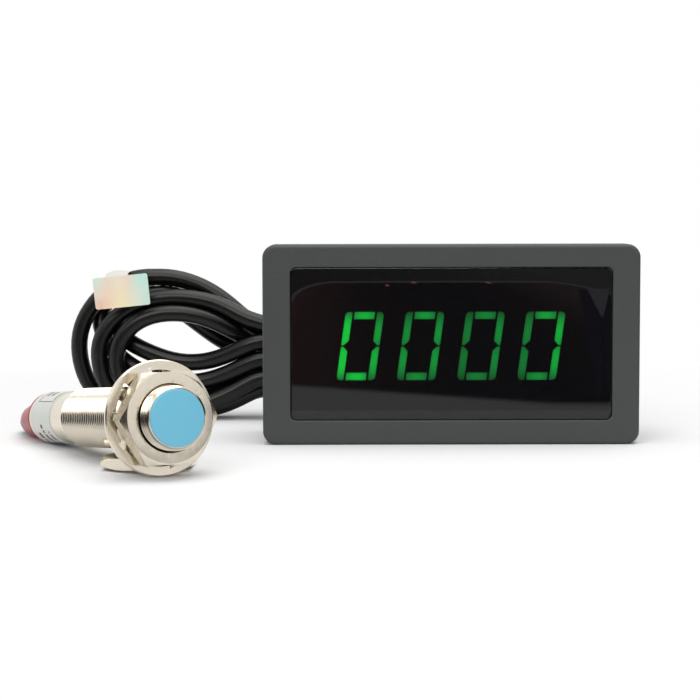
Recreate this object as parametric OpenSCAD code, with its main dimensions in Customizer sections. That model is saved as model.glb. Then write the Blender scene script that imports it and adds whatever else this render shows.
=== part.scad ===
// Digital tachometer: a four-digit panel meter with its threaded proximity sensor on a cable.
// Millimetres. +Z is up, the display faces -Y, and the origin is the middle of the bezel's foot.

/* [Bezel and case] */
// Width of the bezel
bezel_w = 79; // [77:0.5:84]
// Height of the bezel
bezel_h = 42; // [41:0.5:48]
// Thickness of the bezel, front to back
bezel_t = 7; // [6:0.5:9]
// Radius of the bezel's corners
bezel_r = 2.8; // [2:0.1:5]
// Rounding of the bezel's front edge
edge_r = 0.8; // [0.4:0.1:1.2]
// Width of the case behind the panel
case_w = 76; // [74:0.5:76.5]
// Height of the case behind the panel
case_h = 39; // [38:0.5:39.5]
// Depth of the case behind the panel
case_d = 19; // [18:0.5:24]
// Wall of the case
wall = 1.8; // [1.4:0.1:2.4]

/* [Window and display] */
// Width of the window opening
window_w = 67.4; // [64:0.2:69]
// Height of the window opening
window_h = 32.1; // [30:0.1:33]
// Middle of the window above the bezel's foot
window_z = 21.2; // [20:0.1:22]
// Thickness of the window lens
lens_t = 1.5; // [1:0.1:2]
// How far the digits' face lies behind the bezel's front
display_back = 2.8; // [2.4:0.1:3.2]
// Height of a digit
digit_h = 14.3; // [13.8:0.1:14.6]
// Width of a digit
digit_w = 8.2; // [7.6:0.1:8.6]
// Width of a lit segment
segment_w = 1.45; // [1.1:0.05:1.6]
// Distance from digit to digit
digit_pitch = 12.7; // [12.5:0.1:12.7]
// Lean of the digits, in degrees
digit_lean = 8; // [0:1:10]

/* [Sensor] */
// Diameter of the threaded barrel
thread_d = 12; // [11.8:0.1:12]
// Diameter of the smooth rear of the barrel
rear_d = 10.7; // [10.4:0.1:11]
// Distance from the sensing face to the rear end of the thread
thread_end = 46; // [44:0.5:48]
// Distance from the sensing face to the rear rim of the barrel
barrel_end = 66.9; // [66:0.1:70]
// Distance across the flats of the nuts
nut_af = 17; // [16.5:0.1:17.5]
// Thickness of the nut on the thread
nut_t = 4; // [3.6:0.1:4.2]
// Thickness of the loose lock nut
loose_nut_t = 2.7; // [2.2:0.1:2.7]
// Outer diameter of the lock washer
washer_d = 21.7; // [21:0.1:22]
// Thickness of the lock washer
washer_t = 1; // [0.8:0.1:1.1]
// Twist of the washer's teeth, in degrees
tooth_twist = 30; // [20:1:32]
// Turn of the sensor away from the meter's front, in degrees
sensor_yaw = 28.6; // [24:0.1:32]

/* [Cable] */
// Diameter of the cable
cable_d = 4; // [3.8:0.1:4.2]
// Diameter of an insulated core of the cable
core_d = 1.3; // [1.1:0.1:1.5]

/* [Hidden] */
$fn = 64;

// Planes of the meter, along Y
front_y = -bezel_t / 2;
seat_y = bezel_t / 2;
case_back_y = seat_y + case_d;
lens_y = front_y + 0.3;
lens_back_y = lens_y + lens_t;
wall_front_y = lens_back_y + 1.4;
display_y = front_y + display_back;
display_d = 8;
board_y = display_y + display_d;
board_t = 1.6;
board_gap = 5.6;
power_y = board_y + board_t + board_gap;
cover_t = 2;
cover_y = case_back_y - cover_t;

// Middle of the meter's height, and the inside of the case
mid_z = bezel_h / 2;
inside_w = case_w - 2 * wall;
inside_h = case_h - 2 * wall;

// Openings and bosses of the case
window_r = 1.3;
lens_fit = 0.12;
ledge = 2.2;
boss_x = 33.8;
boss_z = 15;
boss_d = 4.4;
pilot_d = 1.6;
tongue_w = 10;
tongue_l = 13;
tongue_slot = 1;
catch_h = 1.1;
catch_back = 2.5;

// Display module and its digits
display_w = 50.3;
display_h = 19;
segment_depth = 1.2;
segment_gap = 0.35;
point_d = 1.5;
pin_pitch = 2.54;
pin_w = 0.5;
pin_row_z = 7.62;
pins_per_row = 6;
pin_tail = 1.2;
digit_z = window_z - 0.2;
digit_xs = [for (i = [0 : 3]) (i - 1.5) * digit_pitch];

// Boards and what stands on them
board_w = 71.6;
board_h = 34;
power_w = 62;
power_h = 30;
header_ways = 10;
header_z = mid_z - 12.6;
terminal_ways = 5;
terminal_pitch = 5.08;
terminal_h = 12;
terminal_deep = 8.2;
terminal_z = mid_z;
terminal_xs = [for (i = [0 : terminal_ways - 1]) (i - (terminal_ways - 1) / 2) * terminal_pitch];
entry_y = power_y + board_t + 8;
entry_w = 3;
screw_well_d = 4.1;
screw_head_d = 3.7;
core_y = entry_y - entry_w / 2 + 0.1 + core_d / 2;
screw_tip_y = core_y + core_d / 2;
screw_l = entry_y + 2.6 - screw_tip_y;

// Sensor: its washer and its rear rim both stand on the floor, which sets its tilt
washer_back = 9.2;
face_proud = 0.4;
washer_rim_z = washer_d / 2;
sensor_tilt = atan((washer_d - rear_d) / 2 / (barrel_end - washer_back));
face_pos = [-52.5, -56.3, washer_rim_z * cos(sensor_tilt) + washer_back * sin(sensor_tilt)];
nut_front = washer_back - 1.8 - nut_t;
bore_d = 9.6;
cap_d = 10.1;
cap_skirt = 8;
label_start = 54;
label_end = 65.6;
label_t = 0.12;
tooth_count = 10;
tooth_w = 3.1;
tooth_root_r = 8.9;
boot_l = 12.1;
boot_end_d = 5.9;
boot_droop = 3.8;
loose_nut_pos = [-60.4, -35.8, 0];
thread_minor_d = 10.9;

// Sensor's forward and upward directions, and the end face of its drooping boot
sensor_n = [sin(sensor_yaw) * cos(sensor_tilt), -cos(sensor_yaw) * cos(sensor_tilt), sin(sensor_tilt)];
sensor_up = [-sin(sensor_yaw) * sin(sensor_tilt), cos(sensor_yaw) * sin(sensor_tilt), cos(sensor_tilt)];
boot_dir = -cos(boot_droop) * sensor_n - sin(boot_droop) * sensor_up;
boot_end = face_pos - barrel_end * sensor_n + boot_l * boot_dir;

// Cable route from the sensor's boot to the hank, points chosen by hand
tail_route = [
    boot_end, boot_end + 4 * boot_dir, [-92.8, 21, 2.3], [-92.4, 26, 2.2], [-90.6, 31.4, 2],
    [-87, 36.4, 2], [-82, 40.2, 2], [-76, 42.4, 2], [-70, 43, 2], [-65, 43, 2], [-60, 43, 2]
];
// Cable route from the hank to the terminals, points chosen by hand
lead_route = [
    [5, 43, 2], [1, 42.4, 2], [-3, 40.2, 2.1], [-5.6, 36.6, 2.7], [-6.4, 32.6, 4], [-6.4, 29, 6]
];
// Height and depth of the three cores where the sheath ends
core_start = [-6.4, 29, 6];
core_fan = 1.35;

// Hank: its side outline is two lobes and a tied waist
hank_y = 41;
hank_d = 15;
waist_x = -32.5;
waist_z = 14;
waist_half_h = 8;
tie_w = 4;
tie_t = 0.8;
flag_x = -74.1;
flag_z = 30.3;
flag_w = 12.6;
flag_h = 7.2;
flag_t = 0.4;
flag_tilt = 5.8;

// Point on a quarter-round, from 0 at the front to 1 at full size
function round_in(step) = edge_r * (1 - sin(step));
function round_back(step) = edge_r * (1 - cos(step));

// Shift of a leaning digit's point at height z
function lean(z) = z * tan(digit_lean);

// Unit vector and a frame across a direction
function unit(v) = v / norm(v);
function side_of(t) = unit(cross(t, abs(t[2]) > 0.9 ? [1, 0, 0] : [0, 0, 1]));

// Point of a smooth curve through p, at place t between p[i] and p[i + 1]
function spline_at(p, i, t) =
    let (n = len(p),
         a = p[max(i - 1, 0)], b = p[i], c = p[min(i + 1, n - 1)], d = p[min(i + 2, n - 1)])
    0.5 * (2 * b + (c - a) * t + (2 * a - 5 * b + 4 * c - d) * t * t
           + (3 * b - a - 3 * c + d) * t * t * t);
function spline(p, steps) = concat(
    [for (i = [0 : len(p) - 2]) for (s = [0 : steps - 1]) spline_at(p, i, s / steps)],
    [p[len(p) - 1]]);

// Closed smooth outline through 2D points
function loop_at(p, i, t) =
    let (n = len(p), a = p[(i + n - 1) % n], b = p[i], c = p[(i + 1) % n], d = p[(i + 2) % n])
    0.5 * (2 * b + (c - a) * t + (2 * a - 5 * b + 4 * c - d) * t * t
           + (3 * b - a - 3 * c + d) * t * t * t);
function loop_curve(p, steps) =
    [for (i = [0 : len(p) - 1]) for (s = [0 : steps - 1]) loop_at(p, i, s / steps)];

// Tube of a given diameter along a route, as one solid with flat ends
module tube_along(route, d, sides = 10, start_dir = undef, end_dir = undef) {
    n = len(route);
    dirs = [for (i = [0 : n - 1])
        i == 0 && start_dir != undef ? unit(start_dir) :
        i == n - 1 && end_dir != undef ? unit(end_dir) :
        unit(route[min(i + 1, n - 1)] - route[max(i - 1, 0)])];
    rings = [for (i = [0 : n - 1])
        let (u = side_of(dirs[i]), v = cross(dirs[i], u))
        for (k = [0 : sides - 1])
            route[i] + d / 2 * (cos(360 * k / sides) * u + sin(360 * k / sides) * v)];
    walls = [for (i = [0 : n - 2]) for (k = [0 : sides - 1])
        let (a = i * sides + k, b = i * sides + (k + 1) % sides)
        [a, a + sides, b + sides, b]];
    first = [for (k = [0 : sides - 1]) k];
    last = [for (k = [0 : sides - 1]) (n - 1) * sides + (sides - 1 - k)];
    polyhedron(points = rings, faces = concat(walls, [first], [last]), convexity = 6);
}

// Flat shapes in the XZ plane, given depth along Y
module rounded_rect(w, h, r) {
    square([w - 2 * r, h], center = true);
    square([w, h - 2 * r], center = true);
    for (x = [-1, 1], z = [-1, 1])
        translate([x * (w / 2 - r), z * (h / 2 - r)]) circle(r);
}

module along_y(y0, t) {
    translate([0, y0 + t, 0]) rotate([90, 0, 0]) linear_extrude(t) children();
}

module slab(w, h, r, y0, t, z) {
    along_y(y0, t) translate([0, z]) rounded_rect(w, h, r);
}

module block(x, y0, z, size) {
    translate([x - size[0] / 2, y0, z - size[2] / 2]) cube(size);
}

// Places what is drawn along +Z so that it looks out of the sensing face, with +Y upwards
module on_sensor() {
    translate(face_pos) rotate([90 - sensor_tilt, 0, sensor_yaw]) children();
}

// Cylinder on the sensor's axis from one distance behind the face to another
module turned(from, to, d) {
    translate([0, 0, -to]) cylinder(d = d, h = to - from);
}

module turned_cone(from, to, d_from, d_to) {
    translate([0, 0, -to]) cylinder(d1 = d_to, d2 = d_from, h = to - from);
}

// Bezel with a rounded front edge
module bezel_block() {
    hull() {
        for (step = [0 : 30 : 90])
            along_y(front_y + round_back(step), bezel_t - edge_r)
                translate([0, mid_z])
                    rounded_rect(bezel_w - 2 * round_in(step), bezel_h - 2 * round_in(step),
                                 bezel_r - round_in(step), $fn = 32);
    }
}

// Wedge that snaps behind the panel, on the case's right side at y0
module catch() {
    translate([case_w / 2 - 0.2, seat_y + catch_back, mid_z - tongue_w / 2 + tongue_slot])
        linear_extrude(tongue_w - 2 * tongue_slot)
            polygon([[0, 0], [catch_h + 0.2, 0.6], [catch_h + 0.2, 1.4], [0, tongue_l - 4.6]]);
}

// Slots beside and behind the snap tongue
module tongue_cut() {
    for (side = [-1, 1])
        translate([case_w / 2 - wall - 1, seat_y + 1.2, mid_z + side * tongue_w / 2 - tongue_slot / 2])
            cube([wall + 2, tongue_l, tongue_slot]);
    translate([case_w / 2 - wall - 1, seat_y + 1.2 + tongue_l - tongue_slot, mid_z - tongue_w / 2])
        cube([wall + 2, tongue_slot, tongue_w]);
}

module case_shell() {
    color([0.27, 0.28, 0.28]) {
        difference() {
            union() {
                bezel_block();
                slab(case_w, case_h, 1.2, seat_y - 1, case_d + 1, mid_z);
            }
            slab(window_w, window_h, window_r, front_y - 1, lens_back_y - front_y + 1, window_z);
            slab(window_w - 2 * ledge, window_h - 2 * ledge, 0.8, front_y, bezel_t, window_z);
            slab(inside_w, inside_h, 0.8, wall_front_y, case_d + bezel_t, mid_z);
            for (side = [0, 1]) mirror([side, 0, 0]) tongue_cut();
            // recesses that hold the rear cover's lugs
            for (side = [-1, 1])
                block(side * 20, cover_y + 0.4, mid_z, [8, 1.2, inside_h + 1.2]);
        }
        for (side = [0, 1]) mirror([side, 0, 0]) catch();
        for (x = [-1, 1], z = [-1, 1])
            translate([x * boss_x, wall_front_y - 0.4, mid_z + z * boss_z])
                rotate([-90, 0, 0]) difference() {
                    cylinder(d = boss_d, h = board_y - wall_front_y + 0.4);
                    translate([0, 0, 1.2]) cylinder(d = pilot_d, h = board_y);
                }
    }
}

module window_lens() {
    color([0.05, 0.04, 0.05])
        slab(window_w - 2 * lens_fit, window_h - 2 * lens_fit, window_r - lens_fit, lens_y, lens_t, window_z);
}

// Outlines of one leaning digit's segments, about its middle
module digit_outline(points) {
    polygon([for (p = points) [p[0] + lean(p[1]), p[1]]]);
}

// Bar at the top of a digit, and with a negative height at its foot
module bar(side) {
    x = digit_w / 2 - segment_w - segment_gap;
    z = digit_h / 2;
    digit_outline([[-x, side * z], [x, side * z], [x, side * (z - segment_w)], [-x, side * (z - segment_w)]]);
}

// Upright of a digit: side picks left or right, up picks the upper or the lower half
module upright(side, up) {
    x1 = side * digit_w / 2;
    x0 = side * (digit_w / 2 - segment_w);
    z0 = up * segment_gap / 2;
    z1 = up * digit_h / 2;
    r = 0.8;
    round_end = [for (a = [0 : 30 : 90]) [x1 - side * r * (1 - cos(a)), z1 - up * r * (1 - sin(a))]];
    digit_outline(concat(
        [[x1, z0], [x1 - side * 0.55, z0], [x0, z0 + up * 0.75], [x0, z1]],
        [for (i = [3 : -1 : 0]) round_end[i]]));
}

// Bar across the middle of a digit
module middle_bar() {
    x = digit_w / 2 - segment_w * 0.62;
    h = segment_w / 2 - 0.1;
    digit_outline([[-x + h, h], [x - h, h], [x, 0], [x - h, -h], [-x + h, -h], [-x, 0]]);
}

module lit_outline() {
    for (x = digit_xs) translate([x, digit_z]) {
        for (up = [-1, 1]) {
            bar(up);
            for (side = [-1, 1]) upright(side, up);
        }
    }
}

module unlit_outline() {
    for (x = digit_xs) translate([x, digit_z]) {
        middle_bar();
        translate([digit_w / 2 + 0.75, -digit_h / 2 + point_d / 2]) circle(d = point_d);
    }
}

// Places of the display's pins
module at_display_pins() {
    for (i = [0 : pins_per_row - 1], z = [-1, 1])
        translate([(i - (pins_per_row - 1) / 2) * pin_pitch, 0, digit_z + z * pin_row_z]) children();
}

module display_body() {
    color([0.1, 0.1, 0.1]) difference() {
        block(0, display_y, digit_z, [display_w, display_d, display_h]);
        along_y(display_y - 1, segment_depth + 1) lit_outline();
        along_y(display_y - 1, segment_depth + 1) unlit_outline();
    }
}

module lit_segments() {
    color([0.1, 0.85, 0.3]) along_y(display_y, segment_depth) lit_outline();
}

module unlit_segments() {
    color([0.2, 0.22, 0.2]) along_y(display_y, segment_depth) unlit_outline();
}

module display_pins() {
    color([0.8, 0.8, 0.78]) at_display_pins()
        translate([-pin_w / 2, board_y, -pin_w / 2]) cube([pin_w, board_t + pin_tail, pin_w]);
}

// Places of the pins that join the two boards
module at_header_pins() {
    for (i = [0 : header_ways - 1])
        translate([(i - (header_ways - 1) / 2) * pin_pitch, 0, header_z]) children();
}

module display_board() {
    color([0.05, 0.3, 0.15]) difference() {
        block(0, board_y, mid_z, [board_w, board_t, board_h]);
        at_display_pins() translate([-pin_w / 2, board_y - 1, -pin_w / 2]) cube([pin_w, board_t + 2, pin_w]);
        at_header_pins() translate([-pin_w / 2, board_y - 1, -pin_w / 2]) cube([pin_w, board_t + 2, pin_w]);
        for (x = [-1, 1], z = [-1, 1])
            translate([x * boss_x, board_y - 1, mid_z + z * boss_z])
                rotate([-90, 0, 0]) cylinder(d = pilot_d + 0.6, h = board_t + 2);
    }
}

// Moulded chip with two rows of gull-wing leads, standing off the board along +Y
module chip(x, z, size, leads, pitch) {
    block(x, board_y + board_t + 0.2, z, [size[0], size[1], size[2]]);
    for (i = [0 : leads - 1], side = [-1, 1])
        block(x + (i - (leads - 1) / 2) * pitch, board_y + board_t, z + side * (size[2] / 2 + 0.45),
              [0.4, 0.7, 1.1]);
}

module controller_chip() {
    color([0.12, 0.12, 0.12]) chip(-14, mid_z + 1, [12.6, 2.2, 7.4], 10, 1.27);
}

module display_driver() {
    color([0.12, 0.12, 0.12]) chip(14, mid_z + 1, [10, 1.6, 4], 8, 1.27);
}

module chip_resistors() {
    color([0.2, 0.2, 0.2])
        for (i = [0 : 5], row = [0, 1])
            block(-25 + i * 3.2 + row * 34, board_y + board_t, mid_z + 10 - row * 3, [1.25, 0.5, 2]);
}

module crystal() {
    color([0.8, 0.8, 0.8])
        along_y(board_y + board_t, 3.4) translate([-28, mid_z + 1]) rotate(90) rounded_rect(10.5, 4.4, 2.1);
}

module board_header() {
    color([0.1, 0.1, 0.1]) {
        difference() {
            block(0, board_y + board_t, header_z, [header_ways * pin_pitch, board_gap, 2.5]);
            at_header_pins()
                translate([-pin_w / 2, board_y, -pin_w / 2]) cube([pin_w, board_gap + 4, pin_w]);
        }
        at_header_pins()
            translate([-pin_w / 2, board_y - 0.8, -pin_w / 2])
                cube([pin_w, board_gap + 2 * board_t + 1.6, pin_w]);
    }
}

// Places of the terminals' solder pins
module at_terminal_pins() {
    for (x = terminal_xs) translate([x, 0, terminal_z]) children();
}

module power_board() {
    color([0.05, 0.3, 0.15]) difference() {
        block(0, power_y, mid_z, [power_w, board_t, power_h]);
        at_header_pins() translate([-pin_w / 2, power_y - 1, -pin_w / 2]) cube([pin_w, board_t + 2, pin_w]);
        at_terminal_pins() translate([-0.5, power_y - 1, -0.5]) cube([1, board_t + 2, 1]);
    }
}

// Electrolytic capacitor lying in the gap between the boards
module capacitor(x, z, d, l) {
    translate([x - l / 2, power_y - d / 2, z]) rotate([0, 90, 0]) difference() {
        cylinder(d = d, h = l);
        translate([0, 0, 1.2]) rotate_extrude() translate([d / 2, 0]) circle(0.35, $fn = 24);
    }
}

module capacitors() {
    color([0.15, 0.2, 0.4]) {
        capacitor(22, mid_z - 5.5, 5, 11);
        capacitor(-22, mid_z - 8.2, 5, 11);
    }
}

// Regulator with a metal tab, on the back of the power board
module regulator() {
    color([0.13, 0.13, 0.13]) {
        block(-23, power_y + board_t, mid_z + 3, [6.6, 2.3, 6.1]);
        block(-23, power_y + board_t, mid_z + 7.2, [5.2, 0.6, 2.4]);
        for (x = [-1, 1]) block(-23 + x * 2.28, power_y + board_t, mid_z - 1.4, [0.8, 0.6, 2.8]);
    }
}

module board_screws() {
    color([0.75, 0.75, 0.73])
        for (x = [-1, 1], z = [-1, 1])
            translate([x * boss_x, board_y, mid_z + z * boss_z]) rotate([90, 0, 0]) {
                translate([0, 0, -board_t]) cylinder(d = pilot_d, h = board_t + 4);
                translate([0, 0, -board_t - 1.2]) difference() {
                    cylinder(d = 3.4, h = 1.2);
                    for (turn = [0, 90]) rotate(turn) translate([-1, -0.2, -0.1]) cube([2, 0.4, 0.7]);
                }
            }
}

module terminal_block() {
    block_l = terminal_ways * terminal_pitch;
    y0 = power_y + board_t;
    color([0.1, 0.42, 0.2]) difference() {
        union() {
            block(0, y0, terminal_z, [block_l, terminal_h, terminal_deep]);
            // lips between the ways, above the wire entries
            for (x = terminal_xs)
                block(x, entry_y + entry_w / 2 + 0.2, terminal_z - terminal_deep / 2 - 0.3, [3.6, 0.7, 0.8]);
        }
        for (x = terminal_xs) {
            // chamber of the clamp, wire entry and screw well
            block(x, entry_y - 2.6, terminal_z, [4, 5.2, 5.4]);
            block(x, entry_y - entry_w / 2, terminal_z - 3, [entry_w, entry_w, 6]);
            translate([x, entry_y, terminal_z]) rotate([-90, 0, 0]) cylinder(d = screw_well_d, h = 12);
            block(x, y0 - 1, terminal_z, [1, entry_y - 1.6 - y0, 1]);
        }
    }
}

module terminal_clamps() {
    color([0.75, 0.7, 0.5]) for (x = terminal_xs) {
        difference() {
            block(x, entry_y - 2.6, terminal_z, [4, 5.2, 5.4]);
            block(x, entry_y - entry_w / 2, terminal_z, [entry_w - 0.2, entry_w, 6]);
            translate([x, entry_y, terminal_z]) rotate([-90, 0, 0]) cylinder(d = 2.5, h = 6);
        }
        block(x, power_y - 1, terminal_z, [1, entry_y - 2.6 - power_y + 1, 1]);
    }
}

module terminal_screws() {
    color([0.8, 0.8, 0.78]) for (x = terminal_xs)
        translate([x, screw_tip_y, terminal_z]) rotate([-90, 0, 0]) difference() {
            union() {
                cylinder(d = 2.5, h = screw_l);
                translate([0, 0, screw_l]) cylinder(d = screw_head_d, h = 0.95);
            }
            translate([-3, -0.3, screw_l + 0.35]) cube([6, 0.6, 2]);
        }
}

module rear_cover() {
    color([0.27, 0.28, 0.28]) {
        difference() {
            slab(inside_w - 0.2, inside_h - 0.2, 0.7, cover_y, cover_t, mid_z);
            block(0, cover_y - 1, terminal_z,
              [terminal_ways * terminal_pitch + 0.4, cover_t + 2, terminal_deep + 0.4]);
            // openings for air, in two fields
            for (side = [-1, 1], i = [0 : 5])
                block(side * (20 + i * 2.4), cover_y - 1, mid_z, [1.1, cover_t + 2, 14]);
        }
        // lugs that snap into the case
        for (side = [-1, 1], z = [-1, 1])
            block(side * 20, cover_y + 0.6, mid_z + z * (inside_h / 2 + 0.1), [7.4, 1, 0.6]);
    }
}

module sensor_barrel() {
    color([0.78, 0.76, 0.72]) on_sensor() difference() {
        union() {
            turned_cone(face_proud, face_proud + 0.5, thread_d - 1, thread_d);
            turned(face_proud + 0.5, thread_end, thread_d);
            turned(thread_end, barrel_end, rear_d);
        }
        turned(-1, face_proud + 1.2, cap_d);
        turned(-1, barrel_end + 1, bore_d);
    }
}

module sensing_face() {
    color([0.42, 0.74, 0.86]) on_sensor() difference() {
        union() {
            turned_cone(0, 0.15, cap_d - 0.3, cap_d);
            turned(0.15, face_proud + 1.2, cap_d);
            turned(face_proud + 1.2, cap_skirt, bore_d);
        }
        turned(1.4, cap_skirt + 1, bore_d - 1.6);
    }
}

// Outline of the sensor's board and what it carries, for the resin to flow around
module board_shape() {
    translate([-3.9, -0.5, -61]) cube([7.8, 1, 57.6]);
}

module hall_shape() {
    translate([-2, -0.8, -3.4]) cube([4, 1.6, 2]);
}

module sensor_board() {
    color([0.05, 0.3, 0.15]) on_sensor() board_shape();
}

module hall_element() {
    color([0.12, 0.12, 0.12]) on_sensor() hall_shape();
}

module indicator_led() {
    color([0.9, 0.3, 0.25]) on_sensor() translate([-1.5, 0.5, -60.4]) cube([3, 1.4, 2]);
}

module sensor_potting() {
    color([0.1, 0.1, 0.1]) on_sensor() difference() {
        union() {
            turned(1.4, cap_skirt, bore_d - 1.6);
            turned(cap_skirt, 57, bore_d);
        }
        board_shape();
        hall_shape();
    }
}

// Tapered boot moulded onto the cable, with a plug that seals the barrel
module tail_boot() {
    color([0.78, 0.35, 0.38]) on_sensor() {
        difference() {
            turned(57, barrel_end, bore_d);
            board_shape();
            translate([-1.5, 0.5, -60.4]) cube([3, 1.4, 2]);
        }
        translate([0, 0, -barrel_end]) rotate([-boot_droop, 0, 0]) rotate([180, 0, 0]) rotate_extrude()
            polygon([[0, -1.5], [4.4, -1.5], [4.6, 0.35], [4.5, 1.2], [4.25, 3], [3.9, 6], [3.4, 9.4],
                     [boot_end_d / 2, boot_l - 0.5], [boot_end_d / 2 - 0.4, boot_l], [0, boot_l]]);
    }
}

module sensor_label() {
    color([0.8, 0.8, 0.79]) on_sensor() difference() {
        turned(label_start, label_end, rear_d + 2 * label_t);
        turned(label_start - 1, label_end + 1, rear_d);
    }
}

// Hexagon nut with chamfered corners and thread mouths, standing on z = 0
module nut(t, bore) {
    corner_r = nut_af / 2 / cos(30) + 0.2;
    face_r = nut_af / 2 - 0.2;
    drop = (corner_r - face_r) * tan(30);
    mouth_r = thread_d / 2 + 0.5;
    mouth = mouth_r - bore / 2;
    intersection() {
        cylinder(r = nut_af / 2 / cos(30), h = t, $fn = 6);
        rotate_extrude()
            polygon([[bore / 2, mouth], [mouth_r, 0], [face_r, 0], [corner_r, drop],
                     [corner_r, t - drop], [face_r, t], [mouth_r, t], [bore / 2, t - mouth]]);
    }
}

module front_nut() {
    color([0.8, 0.78, 0.72]) on_sensor() translate([0, 0, -nut_front - nut_t]) nut(nut_t, thread_d);
}

module loose_nut() {
    color([0.8, 0.78, 0.72]) translate(loose_nut_pos) rotate(sensor_yaw) nut(loose_nut_t, thread_minor_d);
}

// Lock washer whose inner teeth are each twisted out of its plane
module lock_washer() {
    color([0.8, 0.78, 0.72]) on_sensor() translate([0, 0, -washer_back]) {
        difference() {
            cylinder(d = washer_d, h = washer_t);
            translate([0, 0, -1]) cylinder(r = tooth_root_r, h = washer_t + 2);
        }
        for (i = [0 : tooth_count - 1]) rotate(i * 360 / tooth_count - 18)
            translate([0, 0, washer_t / 2]) intersection() {
                rotate([tooth_twist, 0, 0])
                    translate([thread_d / 2 - 1, -tooth_w / 2, -washer_t / 2])
                        cube([tooth_root_r - thread_d / 2 + 1.6, tooth_w, washer_t]);
                difference() {
                    cylinder(r = tooth_root_r + 0.5, h = 6, center = true);
                    cylinder(d = thread_d, h = 8, center = true);
                }
            }
    }
}

module cable_tail() {
    color([0.06, 0.06, 0.06])
        tube_along(tail_route, cable_d, 10, boot_dir, [1, 0, 0]);
}

module cable_lead() {
    color([0.06, 0.06, 0.06]) tube_along(lead_route, cable_d, 10, [-1, 0, 0], [0, -0.8, 0.6]);
}

// Side outline of the hank, clockwise from the left of its waist; the steps at its foot are
// where the cable's two free ends leave it
hank_outline_left = [
    [-34.6, 22], [-42, 24.6], [-50, 28.8], [-58, 33.4], [-66, 35.4], [-74, 34.6], [-80, 31.2],
    [-85, 25], [-86.8, 17], [-85.4, 10], [-81, 5.2], [-75, 4.2]
];
hank_foot_left = [[-60, 4.2], [-60, 0], [-55, 0.6], [-46, 3.4], [-40, 5.4], [-34.6, 6]];
hank_foot_right = [[-30.4, 6], [-26, 5.4], [-18, 4.6], [-10, 4.2], [5, 4.2], [5, 0], [9, 0.6]];
hank_outline_right = [
    [14, 4], [19.4, 9], [20.6, 17], [18, 25], [12, 30.6], [4, 33], [-4, 32.4], [-14, 28.6],
    [-24, 24], [-30.4, 22]
];
eye_left = [[-69.4, 20.6], [-64, 22.6], [-58, 21.8], [-52.4, 17], [-58, 15.4], [-64, 16.6]];
eye_right = [[-14, 14.4], [-8, 19], [0, 21.6], [6, 20], [9, 15.6], [5, 11.6], [-2, 10.4], [-9, 11.8]];

module cable_hank() {
    color([0.07, 0.07, 0.07]) along_y(hank_y, hank_d) difference() {
        polygon(concat(hank_outline_left, hank_foot_left, hank_foot_right, hank_outline_right));
        polygon(loop_curve(eye_left, 3));
        polygon(loop_curve(eye_right, 3));
    }
}

// Flat tie around the waist of the hank
module hank_tie() {
    color([0.05, 0.05, 0.05]) difference() {
        block(waist_x, hank_y - tie_t, waist_z, [tie_w, hank_d + 2 * tie_t, 2 * waist_half_h + 2 * tie_t]);
        block(waist_x, hank_y, waist_z, [tie_w + 2, hank_d, 2 * waist_half_h]);
    }
}

// Bare sticker flag, hanging on the front of the hank's upper left
module sticker_flag() {
    color([0.85, 0.9, 0.85])
        translate([flag_x, hank_y, flag_z]) rotate([0, -flag_tilt, 0])
            block(0, -flag_t, 0, [flag_w, flag_t, flag_h]);
}

// A core from the sheath's end up into its terminal
module core(start_x, x) {
    tube_along(
        spline([
            core_start + [start_x, 0, 0], core_start + [start_x * 1.1, -2, 1.6],
            [(x + core_start[0] + start_x * 2) / 2, core_y + 1.4, 10.6], [x, core_y, 14.4], [x, core_y, 22.4]
        ], 3), core_d, 8, [0, -0.8, 0.6], [0, 0, 1]);
}

module core_brown() { color([0.35, 0.18, 0.08]) core(-core_fan, terminal_xs[0]); }
module core_black() { color([0.05, 0.05, 0.05]) core(0, terminal_xs[1]); }
module core_blue() { color([0.1, 0.25, 0.6]) core(core_fan, terminal_xs[2]); }

case_shell();
window_lens();
display_body();
lit_segments();
unlit_segments();
display_pins();
display_board();
controller_chip();
display_driver();
chip_resistors();
crystal();
board_header();
power_board();
capacitors();
regulator();
board_screws();
terminal_block();
terminal_clamps();
terminal_screws();
rear_cover();
sensor_barrel();
sensing_face();
sensor_board();
hall_element();
indicator_led();
sensor_potting();
tail_boot();
sensor_label();
front_nut();
lock_washer();
loose_nut();
cable_tail();
cable_hank();
cable_lead();
core_brown();
core_black();
core_blue();
hank_tie();
sticker_flag();
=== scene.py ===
"""Digital tachometer: a panel meter, its hank of cable and its threaded proximity sensor.

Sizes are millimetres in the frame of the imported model: +Z up, the display faces -Y, and the
origin is the middle of the bezel's foot. Every piece is modelled in millimetres and turned to
metres when it is finished.
"""

import logging
import math
from contextlib import contextmanager
from dataclasses import dataclass, field
from enum import Enum
from functools import cache
from typing import Callable, Iterator, Optional, Sequence

import bmesh
import bpy
import numpy as np
from mathutils import Matrix, Vector

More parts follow.
